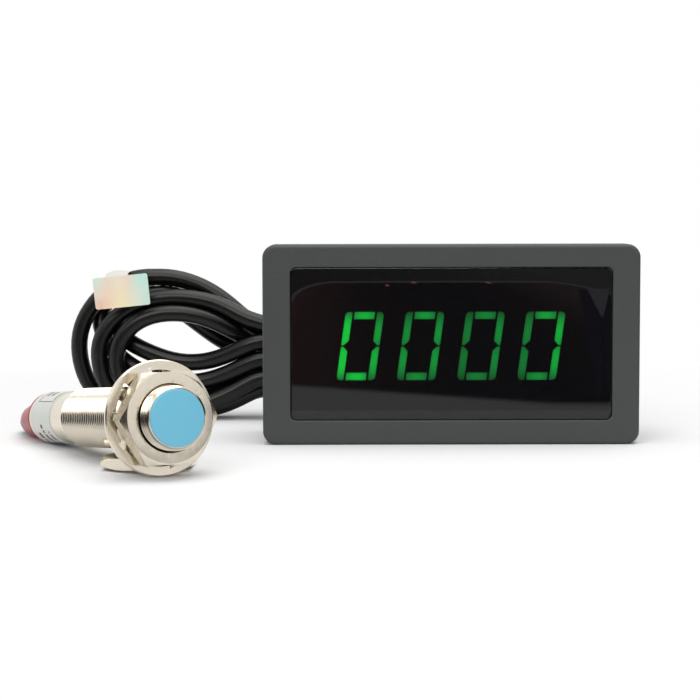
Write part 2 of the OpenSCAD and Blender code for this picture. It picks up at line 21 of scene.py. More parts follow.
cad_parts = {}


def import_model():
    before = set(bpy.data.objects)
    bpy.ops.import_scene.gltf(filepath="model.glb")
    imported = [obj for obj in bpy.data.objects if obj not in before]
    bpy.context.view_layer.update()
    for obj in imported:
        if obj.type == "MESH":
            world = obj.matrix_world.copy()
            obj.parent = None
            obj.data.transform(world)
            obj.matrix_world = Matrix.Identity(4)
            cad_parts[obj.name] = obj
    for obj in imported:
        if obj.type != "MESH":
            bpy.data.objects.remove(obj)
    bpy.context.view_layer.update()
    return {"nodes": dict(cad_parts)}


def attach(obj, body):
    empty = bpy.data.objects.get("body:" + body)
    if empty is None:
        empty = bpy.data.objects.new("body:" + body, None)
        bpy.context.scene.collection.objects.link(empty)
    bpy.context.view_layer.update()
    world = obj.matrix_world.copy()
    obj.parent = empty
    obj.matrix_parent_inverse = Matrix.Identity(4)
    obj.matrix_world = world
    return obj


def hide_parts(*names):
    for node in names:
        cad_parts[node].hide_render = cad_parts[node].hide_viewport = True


LOG = logging.getLogger("tachometer")
MM = 0.001
BODY = "root"
POLE = 0.001
WHITE = (1.0, 1.0, 1.0, 1.0)
Point = tuple[float, float, float]
Flat = tuple[float, float]
Colour = tuple[float, float, float, float]
Stops = Sequence[tuple[float, str]]
Points = Sequence[Point]
Outline = Sequence[Flat]
Test = Callable[[Vector, Vector], bool]
Piece = bpy.types.Object
Node = bpy.types.Node
Socket = bpy.types.NodeSocket
Tree = bpy.types.NodeTree


# Nodes and colours


def linear(hex_colour: str) -> Colour:
    """Turns an sRGB hex colour to the linear one that shaders use, with an alpha of 1."""
    parts = [int(hex_colour[i : i + 2], 16) / 255 for i in (1, 3, 5)]
    red, green, blue = (c / 12.92 if c <= 0.04045 else ((c + 0.055) / 1.055) ** 2.4 for c in parts)
    return (red, green, blue, 1.0)


def metres(span: Flat) -> Flat:
    """Both ends of a span in metres."""
    return (span[0] * MM, span[1] * MM)


def emptied(owner: bpy.types.ID) -> Tree:
    """The shader tree of a material or world, with nothing in it."""
    owner.use_nodes = True
    owner.node_tree.nodes.clear()
    return owner.node_tree


def add_node(tree: Tree, kind: str, inputs: Optional[dict] = None, **settings: object) -> Node:
    """Adds a node with its settings and links.

    Args:
        tree: Tree that gets the node.
        kind: Type of shader node, such as "TexNoise".
        inputs: Socket name or number to its value, or to the output that feeds it.
        **settings: Properties of the node itself.

    Returns:
        The new node.
    """
    made = tree.nodes.new("ShaderNode" + kind)
    for name, value in settings.items():
        setattr(made, name, value)
    for name, value in (inputs or {}).items():
        if isinstance(value, Socket):
            tree.links.new(value, made.inputs[name])
        else:
            made.inputs[name].default_value = value
    return made


def maths(tree: Tree, operation: str, *values: object) -> Socket:
    """The result of one calculation with values or sockets."""
    return add_node(tree, "Math", dict(enumerate(values)), operation=operation).outputs[0]


def mixed(tree: Tree, share: Socket, first: object, second: object) -> Socket:
    """The colour between two colours, at a share from 0 to 1."""
    return add_node(tree, "Mix", {0: share, 6: first, 7: second}, data_type="RGBA").outputs[2]


def mapped(tree: Tree, value: Socket, start: Flat, end: Flat = (0.0, 1.0), kind: str = "LINEAR") -> Socket:
    """Maps a value from one range to another.

    Args:
        tree: Tree that gets the node.
        value: Output to map.
        start: The range that it comes from.
        end: The range that it goes to.
        kind: Shape of the way between, such as "SMOOTHSTEP".

    Returns:
        The mapped value.
    """
    inputs = {"Value": value, "From Min": start[0], "From Max": start[1], "To Min": end[0], "To Max": end[1]}
    return add_node(tree, "MapRange", inputs, interpolation_type=kind).outputs[0]


def attribute(tree: Tree, name: str) -> Socket:
    """The value that a mesh keeps at each point under a name."""
    return add_node(tree, "Attribute", attribute_name=name).outputs["Fac"]


def noise(tree: Tree, place: Socket, spacing: float, detail: float) -> Socket:
    """Noise with grains about so many millimetres apart, on coordinates in metres."""
    inputs = {"Vector": place, "Scale": 1.0 / (spacing * MM), "Detail": detail}
    return add_node(tree, "TexNoise", inputs).outputs["Fac"]


def relief(tree: Tree, shader: Node, height: Socket, depth: float) -> None:
    """Gives a shader a relief of so many millimetres."""
    bump = add_node(tree, "Bump", {"Height": height, "Distance": depth * MM, "Strength": 1.0})
    tree.links.new(bump.outputs[0], shader.inputs["Normal"])


def ramp(tree: Tree, value: Socket, stops: Stops) -> Socket:
    """Adds a colour ramp.

    Args:
        tree: Tree that gets the ramp.
        value: Output that runs along it.
        stops: Place from 0 to 1 and sRGB colour of each stop.

    Returns:
        The ramp's colour.
    """
    made = add_node(tree, "ValToRGB", {"Fac": value})
    bar = made.color_ramp.elements
    for stop, (place, colour) in zip(bar, (stops[0], stops[-1])):
        stop.position = place
        stop.color = linear(colour)
    for place, colour in stops[1:-1]:
        bar.new(place).color = linear(colour)
    return made.outputs["Color"]


# Finishes


@dataclass(frozen=True)
class Finish:
    """One surface: a Principled shader with its even values, and what varies on top.

    grain is the spacing of the fine relief and depth its height, in millimetres; drift is how far
    the colour wanders from its middle.
    """

    name: str
    colour: str
    roughness: float
    metallic: float = 0.0
    ior: float = 1.5
    grain: float = 0.5
    depth: float = 0.01
    drift: float = 0.06

    def build(self) -> bpy.types.Material:
        """Makes the material with its pattern, on object coordinates in metres."""
        material = bpy.data.materials.new(self.name)
        tree = emptied(material)
        values = {"Base Color": linear(self.colour), "Roughness": self.roughness, "Metallic": self.metallic}
        if self.metallic < 0.5:
            values["IOR"] = self.ior
        shader = add_node(tree, "BsdfPrincipled", values)
        add_node(tree, "OutputMaterial", {"Surface": shader.outputs[0]})
        self.pattern(tree, shader, add_node(tree, "TexCoord").outputs["Object"])
        material.diffuse_color = linear(self.colour)
        return material

    def pattern(self, tree: Tree, shader: Node, place: Socket) -> None:
        """Adds the surface's own grain and a slow drift of its tone."""
        self.tone(tree, shader, place)
        self.skin(tree, shader, place)

    def tone(self, tree: Tree, shader: Node, place: Socket) -> None:
        """Lets the colour drift a little from place to place, as a moulding or a plating does."""
        rgb = linear(self.colour)[:3]
        darker, lighter = ((*(c * share for c in rgb), 1.0) for share in (1 - self.drift, 1 + self.drift))
        cloud = mixed(tree, noise(tree, place, 9.0, 2.0), darker, lighter)
        tree.links.new(cloud, shader.inputs["Base Color"])

    def skin(
        self, tree: Tree, shader: Node, place: Socket, detail: float = 3.0, uneven: Flat = (-0.06, 0.06)
    ) -> None:
        """Adds the fine relief and the uneven gloss that goes with it.

        Args:
            tree: The material's tree.
            shader: Its Principled shader.
            place: Object coordinates, in metres.
            detail: Octaves of the grain.
            uneven: How far the roughness goes below and above its middle.
        """
        fine = noise(tree, place, self.grain, detail)
        gloss = mapped(tree, fine, (0.0, 1.0), tuple(max(0.02, self.roughness + part) for part in uneven))
        tree.links.new(gloss, shader.inputs["Roughness"])
        relief(tree, shader, fine, self.depth)


@dataclass(frozen=True)
class SmokedAcrylic(Finish):
    """Cast acrylic with a smoke dye: polished, clear enough that only lit segments show through."""

    def pattern(self, tree: Tree, shader: Node, place: Socket) -> None:
        """Makes the sheet clear and dyed, with the faintest waviness of its polish."""
        shader.inputs["Transmission Weight"].default_value = 1.0
        relief(tree, shader, noise(tree, place, 22.0, 1.0), self.depth)


@dataclass(frozen=True)
class LitSegment(Finish):
    """Diffusing epoxy over a light-emitting die: brightest over the die, duller to its ends."""

    dim: str = "#17a043"
    dark: str = "#18301d"
    unlit: str = "#9aa89c"
    strength: float = 14.7
    end_loss: float = 0.5
    side_loss: float = 0.22

    def pattern(self, tree: Tree, shader: Node, place: Socket) -> None:
        """Lights the segment from its own attributes: its level, and how far it is from the die."""
        glow = attribute(tree, "level")
        for name, loss in (("along", self.end_loss), ("across", self.side_loss)):
            off = attribute(tree, name)
            kept = maths(tree, "MULTIPLY_ADD", maths(tree, "MULTIPLY", off, off), -loss, 1.0)
            glow = maths(tree, "MULTIPLY", glow, kept)
        colour = ramp(tree, glow, [(0.0, self.dark), (0.4, self.dim), (1.0, self.colour)])
        tree.links.new(colour, shader.inputs["Emission Color"])
        shader.inputs["Emission Strength"].default_value = self.strength
        shader.inputs["Base Color"].default_value = linear(self.unlit)


@dataclass(frozen=True)
class NickelPlate(Finish):
    """Brass barrel-plated with bright nickel: a warm silver with a soft, slightly rippled gloss."""

    # Colour of the painted shade in the thread's grooves and on the thread just behind the washer.
    film: str = "#40372d"

    def pattern(self, tree: Tree, shader: Node, place: Socket) -> None:
        """Adds the tumbled relief, the warm drift of the plating and painted shade in the thread's grooves and
        just behind the washer.
        """
        self.tone(tree, shader, place)
        clean = shader.inputs["Base Color"].links[0].from_socket
        # Painted shade: the thread is painted darker in its grooves and just behind the washer.
        with_painted_shade = mixed(tree, attribute(tree, "painted_shade"), clean, linear(self.film))
        tree.links.new(with_painted_shade, shader.inputs["Base Color"])
        self.skin(tree, shader, place, 4.0, (-0.05, 0.08))


@dataclass(frozen=True)
class ClearResin(Finish):
    """Moulded clear red resin: light enters it, and its thick parts look deeper in colour."""

    def pattern(self, tree: Tree, shader: Node, place: Socket) -> None:
        """Lets light through and scatters some of it inside."""
        self.skin(tree, shader, place)
        shader.inputs["Transmission Weight"].default_value = 0.25
        shader.inputs["Subsurface Weight"].default_value = 0.5
        shader.inputs["Subsurface Radius"].default_value = (2.5 * MM, 0.5 * MM, 0.4 * MM)
        shader.inputs["Subsurface Scale"].default_value = 1.0


@dataclass(frozen=True)
class HologramFoil(Finish):
    """Embossed rainbow foil: a pale sheet that goes from mint to peach to yellow."""

    back: str = "#d5d5d0"
    left_right: Flat = (-81.0, -67.5)
    foot_top: Flat = (26.0, 34.5)
    low: Stops = (
        (0.0, "#ffd2c6"), (0.28, "#ffdec2"), (0.5, "#fff4c8"), (0.75, "#f8f4e2"), (1.0, "#d8f2ea"),
    )
    high: Stops = (
        (0.0, "#c8fff4"), (0.25, "#f0e6dc"), (0.45, "#f6efe0"), (0.6, "#f8e4d6"), (0.8, "#ccf6f0"),
        (1.0, "#cef6f0"),
    )

    def pattern(self, tree: Tree, shader: Node, place: Socket) -> None:
        """Lays the rainbow's bands across the sheet, one row for its foot and one for its top."""
        apart = add_node(tree, "SeparateXYZ", {"Vector": place}).outputs
        across = mapped(tree, apart["X"], metres(self.left_right))
        up = mapped(tree, apart["Z"], metres(self.foot_top))
        rainbow = mixed(tree, up, ramp(tree, across, self.low), ramp(tree, across, self.high))
        faded = mixed(tree, attribute(tree, "fold"), rainbow, linear(self.back))
        tree.links.new(faded, shader.inputs["Base Color"])


# Case: dark grey with the fine sparkle of a spark-eroded mould
SPARKED_ABS = Finish("sparked_abs", "#3d4141", 0.55, ior=1.48, grain=0.4, depth=0.04, drift=0.05)
# Window: near black, with a mirror's polish
SMOKED_ACRYLIC = SmokedAcrylic("smoked_acrylic", "#3a3638", 0.008, ior=1.49, depth=0.002)
# Display: dull black face, glowing bars, and bars that are off and barely show
DISPLAY_FACE = Finish("matt_black_display", "#0a0a0b", 0.6, grain=0.3)
LIT_EPOXY = LitSegment("lit_green_epoxy", "#13ff4e", 0.4)
UNLIT_EPOXY = Finish("unlit_grey_epoxy", "#141615", 0.45, grain=0.3)
# Sensor: warm bright metal, an even blue face, deep red boot, and a silver label with dark print
NICKEL = NickelPlate("bright_nickel", "#dfd6c5", 0.17, metallic=1.0, grain=0.9, depth=0.008, drift=0.04)
CAP_BLUE = Finish("blue_polyester_cap", "#6cbcdc", 0.42, grain=0.4, depth=0.008, drift=0.02)
RED_RESIN = ClearResin("clear_red_resin", "#a81426", 0.3, ior=1.54, grain=1.2, depth=0.01)
LABEL_FILM = Finish("silver_label_film", "#d0d3d1", 0.3, grain=2.0, depth=0.004, drift=0.03)
LABEL_INK = Finish("black_label_ink", "#1d1d1f", 0.4, grain=0.6)
# Cable: black with a soft sheen along each strand, a duller tie, and a pale rainbow sticker
SHEATH = Finish("extruded_black_pvc", "#080808", 0.3, ior=1.4, grain=1.4, depth=0.008, drift=0.12)
TIE_SLEEVE = Finish("tie_black_pvc", "#111112", 0.45, grain=0.6)
FOIL = HologramFoil("hologram_foil", "#dfe8dc", 0.35)
CORE_BROWN = Finish("brown_insulation", "#5b3420", 0.35, grain=1.0)
CORE_BLACK = Finish("black_insulation", "#151515", 0.35, grain=1.0)
CORE_BLUE = Finish("blue_insulation", "#1f3f9a", 0.35, grain=1.0)
# Boards: glossy green mask, dull black chips, soft bright tin, and a dark blue shrunk sleeve
SOLDER_MASK = Finish("green_solder_mask", "#1c6b3a", 0.3, grain=1.5)
CHIP_EPOXY = Finish("moulded_chip_epoxy", "#1b1b1c", 0.55, grain=0.2, depth=0.01)
TIN = Finish("tinned_lead", "#c9c9c4", 0.32, metallic=1.0, grain=0.5)
CAP_SLEEVE = Finish("capacitor_sleeve", "#1e2550", 0.3, grain=1.0)
# Terminals: satin green body, yellowish clamps and grey screws
TERMINAL_GREEN = Finish("green_polyamide", "#2f7d47", 0.45, grain=0.4, depth=0.02)
CLAMP_METAL = Finish("nickel_plated_brass_clamp", "#c7b78c", 0.34, metallic=1.0, grain=0.5)
ZINC = Finish("zinc_plated_steel", "#bfbdb6", 0.34, metallic=1.0, grain=0.6, depth=0.01)
# Inside the sensor: smooth dark resin and a small red lamp
POTTING = Finish("cast_potting_resin", "#17181a", 0.25, grain=1.5)
LED_RED = Finish("red_lamp_epoxy", "#c03a34", 0.2, grain=1.0)


@cache
def material_of(finish: Finish) -> bpy.types.Material:
    """The one material of a finish."""
    return finish.build()


# Modelling by hand: small wrappers round the operators


class Part(Enum):
    """What is picked in edit mode."""

    EDGES = "EDGE"
    FACES = "FACE"


def clear() -> None:
    """Leaves edit mode and deselects everything, so that the next operator acts on its new piece alone."""
    active = bpy.context.view_layer.objects.active
    if active is not None and active.mode != "OBJECT":
        bpy.ops.object.mode_set(mode="OBJECT")
    bpy.ops.object.select_all(action="DESELECT")


def focus(*pieces: Piece) -> None:
    """Selects these pieces and nothing else, the first one active."""
    clear()
    for piece in pieces:
        piece.select_set(True)
    bpy.context.view_layer.objects.active = pieces[0]


@contextmanager
def editing(piece: Piece) -> Iterator[None]:
    """Edit mode on one piece, with nothing picked."""
    focus(piece)
    bpy.ops.object.mode_set(mode="EDIT")
    bpy.ops.mesh.select_all(action="DESELECT")
    yield
    bpy.ops.object.mode_set(mode="OBJECT")


def pick(piece: Piece, part: Part, test: Test) -> None:
    """Picks edges or faces by their place and direction, in edit mode.

    Args:
        piece: The piece in edit mode.
        part: What to pick.
        test: Takes the middle, and the direction of an edge or the normal of a face.
    """
    bpy.ops.mesh.select_all(action="DESELECT")
    bpy.ops.mesh.select_mode(type=part.value)
    shape = bmesh.from_edit_mesh(piece.data)
    if part is Part.EDGES:
        for edge in shape.edges:
            start, end = (v.co for v in edge.verts)
            edge.select = test((start + end) / 2, (end - start).normalized())
    else:
        for face in shape.faces:
            face.select = test(face.calc_center_median(), face.normal)
    shape.select_flush_mode()
    bmesh.update_edit_mesh(piece.data)


def in_front(depth: float) -> Test:
    """Picks the edges that lie flat in the front face at a depth."""
    return lambda middle, way: abs(middle.y - depth) < 0.01 and abs(way.y) < 0.5


def bevel_edges(piece: Piece, width: float, segments: int, test: Test) -> None:
    """Bevels the edges that a test picks by their middle and direction."""
    with editing(piece):
        pick(piece, Part.EDGES, test)
        bpy.ops.mesh.bevel(offset=width, segments=segments, affect="EDGES")


def face_outwards() -> None:
    """Turns every face outwards, in edit mode."""
    bpy.ops.mesh.select_all(action="SELECT")
    bpy.ops.mesh.normals_make_consistent(inside=False)


def linked(name: str, data: bpy.types.ID) -> Piece:
    """A new object of the scene with this data."""
    made = bpy.data.objects.new(name, data)
    bpy.context.scene.collection.objects.link(made)
    return made


def turn(angle: float, axis: str) -> Matrix:
    """A turn of so many degrees about an axis."""
    return Matrix.Rotation(math.radians(angle), 4, axis)


def shift(x: float, y: float, z: float) -> Matrix:
    """A move without a turn."""
    return Matrix.Translation((x, y, z))


def added(name: str, operator: Callable, **settings: object) -> Piece:
    """Adds a mesh with one of Blender's own operators, and applies its place and size.

    Args:
        name: Name of the piece.
        operator: The operator, such as bpy.ops.mesh.primitive_grid_add.
        **settings: Its settings.

    Returns:
        The new piece.
    """
    clear()
    operator(**settings)
    piece = bpy.context.object
    piece.name = name
    bpy.ops.object.transform_apply(location=True, rotation=True, scale=True)
    return piece


def grid(name: str, columns: int, rows: int) -> Piece:
    """Adds a flat grid of 1 by 1 about the origin."""
    return added(name, bpy.ops.mesh.primitive_grid_add, x_subdivisions=columns, y_subdivisions=rows, size=1.0)


def block(name: str, low: Point, high: Point) -> Piece:
    """Adds a box between two corners."""
    middle, size = [(a + b) / 2 for a, b in zip(low, high)], [b - a for a, b in zip(low, high)]
    return added(name, bpy.ops.mesh.primitive_cube_add, size=1, location=middle, scale=size)


def rounded_slab(name: str, low: Point, high: Point, corner: float, steps: int = 8) -> Piece:
    """Adds a box whose four edges along Y are rounded.

    Args:
        name: Name of the piece.
        low: Lowest corner.
        high: Highest corner.
        corner: Radius of the rounded edges.
        steps: Faces round each corner.

    Returns:
        The new piece.
    """
    piece = block(name, low, high)
    bevel_edges(piece, corner, steps, lambda middle, way: abs(way.y) > 0.9)
    return piece


def rod(name: str, radius: float, start: float, end: float, sides: int = 48) -> Piece:
    """Adds a cylinder on the Z axis, from one height to another."""
    return added(
        name,
        bpy.ops.mesh.primitive_cylinder_add,
        vertices=sides,
        radius=radius,
        depth=end - start,
        location=(0, 0, (start + end) / 2),
    )


def turned(name: str, profile: Outline, sides: int = 96) -> Piece:
    """Draws a turned piece ring by ring, each ring extruded from the last.

    Args:
        name: Name of the piece.
        profile: Radius and height of each ring, from pole to pole or round a closed section.
        sides: Points round each ring.

    Returns:
        The new piece, about the Z axis.
    """
    radius, height = max(profile[0][0], POLE), profile[0][1]
    circle = bpy.ops.mesh.primitive_circle_add
    piece = added(name, circle, vertices=sides, radius=radius, location=(0, 0, height))
    with editing(piece):
        bpy.ops.mesh.select_all(action="SELECT")
        for next_radius, next_height in profile[1:]:
            next_radius = max(next_radius, POLE)
            bpy.ops.mesh.extrude_edges_move(TRANSFORM_OT_translate={"value": (0, 0, next_height - height)})
            grow = next_radius / radius
            bpy.ops.transform.resize(value=(grow, grow, 1), center_override=(0, 0, next_height))
            radius, height = next_radius, next_height
        bpy.ops.mesh.select_all(action="SELECT")
        bpy.ops.mesh.remove_doubles(threshold=2.5 * POLE)
        bpy.ops.mesh.normals_make_consistent(inside=False)
    return piece


def apply_modifier(piece: Piece, kind: str, **settings: object) -> None:
    """Adds a modifier to a piece and applies it at once."""
    focus(piece)
    modifier = piece.modifiers.new(kind.title(), kind)
    for name, value in settings.items():
        setattr(modifier, name, value)
    bpy.ops.object.modifier_apply(modifier=modifier.name)


def combine(piece: Piece, tool: Piece, operation: str = "DIFFERENCE") -> None:
    """Cuts a piece with a tool, or unites or intersects them, and removes the tool."""
    apply_modifier(piece, "BOOLEAN", object=tool, operation=operation, solver="EXACT")
    bpy.data.objects.remove(tool)


def join(name: str, pieces: Sequence[Piece]) -> Piece:
    """Joins loose pieces into one object of this name."""
    focus(*pieces)
    if len(pieces) > 1:
        bpy.ops.object.join()
    pieces[0].name = name
    return pieces[0]


def copied(piece: Piece, place: Matrix) -> Piece:
    """A copy of a piece with its own mesh, put in its place."""
    twin = piece.copy()
    twin.data = piece.data.copy()
    twin.data.transform(place)
    bpy.context.scene.collection.objects.link(twin)
    return twin


def soften(piece: Piece, width: float, segments: int = 2, angle: float = 35.0) -> None:
    """Rounds a piece's edges that are sharper than an angle."""
    limit = math.radians(angle)
    apply_modifier(piece, "BEVEL", width=width, segments=segments, limit_method="ANGLE", angle_limit=limit)


def write_values(piece: Piece, name: str, values: Sequence[float]) -> None:
    """Keeps a value at each point of a piece, for its material."""
    piece.data.attributes.new(name, "FLOAT", "POINT").data.foreach_set("value", values)


def finish_piece(
    piece: Piece,
    finish: Finish,
    nodes: Sequence[str] = (),
    place: Optional[Matrix] = None,
    smooth: float = 32.0,
    flat: bool = False,
) -> Piece:
    """Turns a piece to metres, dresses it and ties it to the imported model.

    Args:
        piece: Piece in millimetres.
        finish: Its finish.
        nodes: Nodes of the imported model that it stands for.
        place: Where it goes, in millimetres, if it was made about the origin.
        smooth: Angle in degrees up to which faces are shaded as one.
        flat: Whether its large faces keep their own direction, so that they mirror as flat ones.

    Returns:
        The finished piece.
    """
    piece.data.transform(Matrix.Scale(MM, 4) @ (place or Matrix.Identity(4)))
    piece.data.materials.clear()
    piece.data.materials.append(material_of(finish))
    focus(piece)
    bpy.ops.object.shade_smooth_by_angle(angle=math.radians(smooth))
    if flat:
        apply_modifier(piece, "WEIGHTED_NORMAL", keep_sharp=True, weight=60)
    clear()
    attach(piece, BODY)
    if nodes:
        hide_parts(*nodes)
    LOG.info("%s: %d faces", piece.name, len(piece.data.polygons))
    return piece


# Camera, floor and light


@dataclass
class Studio:
    """White floor, soft overhead light, and the camera found from the photograph."""

    lens: float = 98.1
    eye: Point = (-21.34, -401.1, 50.4)
    pitch: float = 4.34
    roll: float = -0.11
    yaw: float = 0.02
    axis_rise: float = 1.1
    picture: float = 700.0
    floor_size: float = 12.0
    floor_middle: Flat = (-25.0, 0.0)
    floor_fade: Flat = (110.0, 230.0)
    floor_colour: Colour = (0.9, 0.915, 0.965, 1.0)
    bounce_colour: Colour = (0.82, 0.82, 0.81, 1.0)
    fill: float = 0.47
    lamps: Sequence[tuple[str, Point, Point, Flat, float, str]] = (
        ("top_box", (50, -40, 700), (-20, 10, 0), (760, 560), 3.5, "#fffdf6"),
        ("front_box", (-250, -900, 600), (-20, 0, 20), (700, 500), 3.4, "#fffefa"),
    )
    table_corner: float = 22.0
    table_spans: Sequence[tuple[str, float, float, float]] = (
        ("X", 36.5, 88.5, 1.0), ("Y", -435.0, 400.0, 0.11),
    )
    sheet_tones: Stops = (
        (0.0, "#8e6c6f"), (0.09, "#7c6266"), (0.22, "#575155"), (0.5, "#4b4c54"), (0.7, "#5b5458"),
        (0.86, "#837576"), (1.0, "#897c7c"),
    )
    table_tones: Stops = ((0.0, "#716d71"), (0.5, "#737276"), (1.0, "#8e8c8c"))
    rim_tone: str = "#c4c0c4"
    border_x: Flat = (-37.0, 30.0)
    border_y: Flat = (-130.0, -81.0)
    border_blur: float = 9.0
    near_tone: str = "#e9e9eb"
    even_cards: Sequence[tuple[str, str, Points]] = (
        ("mirrored_stand", "#5a576c", ((44.5, -110, 0.5), (56, -110, 0.5), (56, -110, 24.4), (39.5, -110, 28))),
        (
            "mirrored_glint",
            "#b4b0bc",
            ((45.4, -109.8, 20.6), (46.0, -109.8, 20.6), (47.6, -109.8, 28), (41.6, -109.8, 28)),
        ),
        (
            "dark_wall_front",
            "#241f1b",
            ((-1500, -1100, 0), (300, -1100, 0), (300, -1100, 560), (-1500, -1100, 560)),
        ),
        ("dark_wall_right", "#4a463f", ((1000, -520, 0), (1000, 900, 0), (1000, 900, 600), (1000, -520, 600))),
    )
    small_lamps: Sequence[tuple[float, float, float]] = ((2.0, -772, 1.1), (19.6, -812, 1.6), (66.5, -812, 1.6))

    def camera(self) -> None:
        """Makes the camera; its shift is the 1 px that the optical axis lies above the middle."""
        pitch, roll, yaw = (math.radians(v) for v in (self.pitch, self.roll, self.yaw))
        forward = Vector((math.sin(yaw) * math.cos(pitch), math.cos(yaw) * math.cos(pitch), -math.sin(pitch)))
        right = Vector((math.cos(yaw), -math.sin(yaw), 0.0))
        up = right.cross(forward)
        right, up = right * math.cos(roll) + up * math.sin(roll), up * math.cos(roll) - right * math.sin(roll)
        data = bpy.data.cameras.new("photo_camera")
        data.sensor_width = 36.0
        data.lens = self.lens
        data.shift_y = -self.axis_rise / self.picture
        data.clip_start, data.clip_end = 0.02, 20.0
        camera = linked("photo_camera", data)
        axes = Matrix((right, up, -forward)).transposed().to_4x4()
        camera.matrix_world = Matrix.Translation(Vector(self.eye) * MM) @ axes
        bpy.context.scene.camera = camera

    def lamp(self, name: str, place: Point, aim: Point, size: Flat, watts: float, colour: str) -> None:
        """Hangs one soft box.

        Args:
            name: Name of the lamp.
            place: Where it hangs, in millimetres.
            aim: Point that it faces.
            size: Width and height of the box, in millimetres.
            watts: Its power.
            colour: sRGB tint.
        """
        data = bpy.data.lights.new(name, "AREA")
        data.shape = "RECTANGLE"
        data.size, data.size_y = metres(size)
        data.energy = watts
        data.color = linear(colour)[:3]
        lamp = linked(name, data)
        lamp.location = Vector(place) * MM
        lamp.rotation_mode = "QUATERNION"
        lamp.rotation_quaternion = (Vector(aim) - Vector(place)).to_track_quat("-Z", "Y")

    def by_ray(self, tree: Tree, light: Node, seen: Node) -> Socket:
        """One shader for the light that falls on the object, one for what camera, mirrors and glass see."""
        ray = add_node(tree, "LightPath").outputs
        mirrored = maths(tree, "MAXIMUM", ray["Is Camera Ray"], ray["Is Glossy Ray"])
        share = maths(tree, "MAXIMUM", mirrored, ray["Is Transmission Ray"])
        return add_node(tree, "MixShader", {0: share, 1: light.outputs[0], 2: seen.outputs[0]}).outputs[0]

    def world(self) -> None:
        """Gives even fill light, and plain white where camera and mirrors see past the floor."""
        world = bpy.data.worlds.new("white_room")
        tree = emptied(world)
        fill = add_node(tree, "Background", {"Color": linear("#fffdf8"), "Strength": self.fill})
        white = add_node(tree, "Background", {"Color": WHITE, "Strength": 1.0})
        add_node(tree, "OutputWorld", {"Surface": self.by_ray(tree, fill, white)})
        bpy.context.scene.world = world

    def plane(self, name: str, size: float) -> tuple[Piece, Tree]:
        """A square plane with a new, empty material, and that material's tree."""
        piece = added(name, bpy.ops.mesh.primitive_plane_add, size=size, location=(0, 0, 0))
        material = bpy.data.materials.new(name)
        piece.data.materials.append(material)
        return piece, emptied(material)

    def floor(self) -> None:
        """Lays the white floor: shadows fall on it near the object, and farther off it is plain white."""
        floor, tree = self.plane("floor", self.floor_size)
        place = add_node(tree, "TexCoord").outputs["Object"]
        middle = (*metres(self.floor_middle), 0)
        away = add_node(tree, "VectorMath", {0: place, 1: middle}, operation="DISTANCE").outputs["Value"]
        fade = mapped(tree, away, metres(self.floor_fade), kind="SMOOTHSTEP")
        near = add_node(tree, "BsdfDiffuse", {"Color": self.floor_colour})
        far = add_node(tree, "Emission", {"Color": WHITE, "Strength": 1.0})
        seen = add_node(tree, "MixShader", {0: fade, 1: near.outputs[0], 2: far.outputs[0]})
        paper = add_node(tree, "BsdfDiffuse", {"Color": self.bounce_colour})
        add_node(tree, "OutputMaterial", {"Surface": self.by_ray(tree, paper, seen)})

    def card(self, name: str, corners: Points, colour: Optional[Colour] = None) -> None:
        """Stands a card in the room, which only mirrors see.

        Args:
            name: Name of the card.
            corners: Its four corners, in millimetres.
            colour: Its even colour, or none for the table's pattern.
        """
        card, tree = self.plane(name, 1.0)
        for index, corner in zip((0, 1, 3, 2), corners):
            card.data.vertices[index].co = Vector(corner) * MM
        glow = add_node(tree, "Emission", {"Color": colour or self.table_tone(tree), "Strength": 1.0})
        add_node(tree, "OutputMaterial", {"Surface": glow.outputs[0]})
        card.visible_camera = False
        card.visible_diffuse = False
        card.visible_shadow = False
        card.visible_transmission = False

    def table_tone(self, tree: Tree) -> Socket:
        """The table in front: a dark sheet with round corners and a pale rim, on a dim surface.

        Args:
            tree: Tree of the card's material.

        Returns:
            The card's colour.
        """
        place = add_node(tree, "TexCoord").outputs["Object"]
        apart = add_node(tree, "SeparateXYZ", {"Vector": place}).outputs
        corner, past = self.table_corner, {}
        for axis, middle, half, shrink in self.table_spans:
            off = maths(tree, "ABSOLUTE", maths(tree, "SUBTRACT", apart[axis], middle * MM))
            over = maths(tree, "MAXIMUM", maths(tree, "SUBTRACT", off, (half - corner / shrink) * MM), 0.0)
            past[axis] = maths(tree, "MULTIPLY", over, shrink)
        joined = add_node(tree, "CombineXYZ", past).outputs[0]
        rim = add_node(tree, "VectorMath", {0: joined}, operation="LENGTH").outputs["Value"]
        along = mapped(tree, rim, (0.0, 2 * corner * MM))
        _, middle, half, _ = self.table_spans[0]
        across = mapped(tree, apart["X"], metres((middle - half, middle + half)))
        black, white = "#000000", "#ffffff"
        edge = ramp(tree, along, [(0.0, black), (0.49, black), (0.5, white), (1.0, white)])
        stops = [(0.0, black), (0.46, black), (0.485, white), (0.515, white), (0.54, black), (1.0, black)]
        sheet, table = ramp(tree, across, self.sheet_tones), ramp(tree, across, self.table_tones)
        rimmed = mixed(tree, ramp(tree, along, stops), mixed(tree, edge, sheet, table), linear(self.rim_tone))
        border = mapped(tree, apart["X"], metres(self.border_x), metres(self.border_y))
        nearer = maths(tree, "SUBTRACT", apart["Y"], border)
        pale = mapped(tree, nearer, metres((-self.border_blur, self.border_blur)), kind="SMOOTHSTEP")
        return mixed(tree, pale, rimmed, linear(self.near_tone))

    def cards(self) -> None:
        """Stands the room's dark parts where the window and the plating mirror them."""
        self.card("mirrored_table", ((-900, -2600, 0.4), (900, -2600, 0.4), (900, -66, 0.4), (-900, -66, 0.4)))
        for name, colour, corners in self.even_cards:
            self.card(name, corners, linear(colour))
        for number, (x, y, half) in enumerate(self.small_lamps):
            corners = [(x + a * half, y + b * 12, 0.8) for a, b in ((-1, -1), (1, -1), (1, 1), (-1, 1))]
            self.card(f"mirrored_lamp_{number}", corners, (2.6, 0.9, 1.2, 1.0))

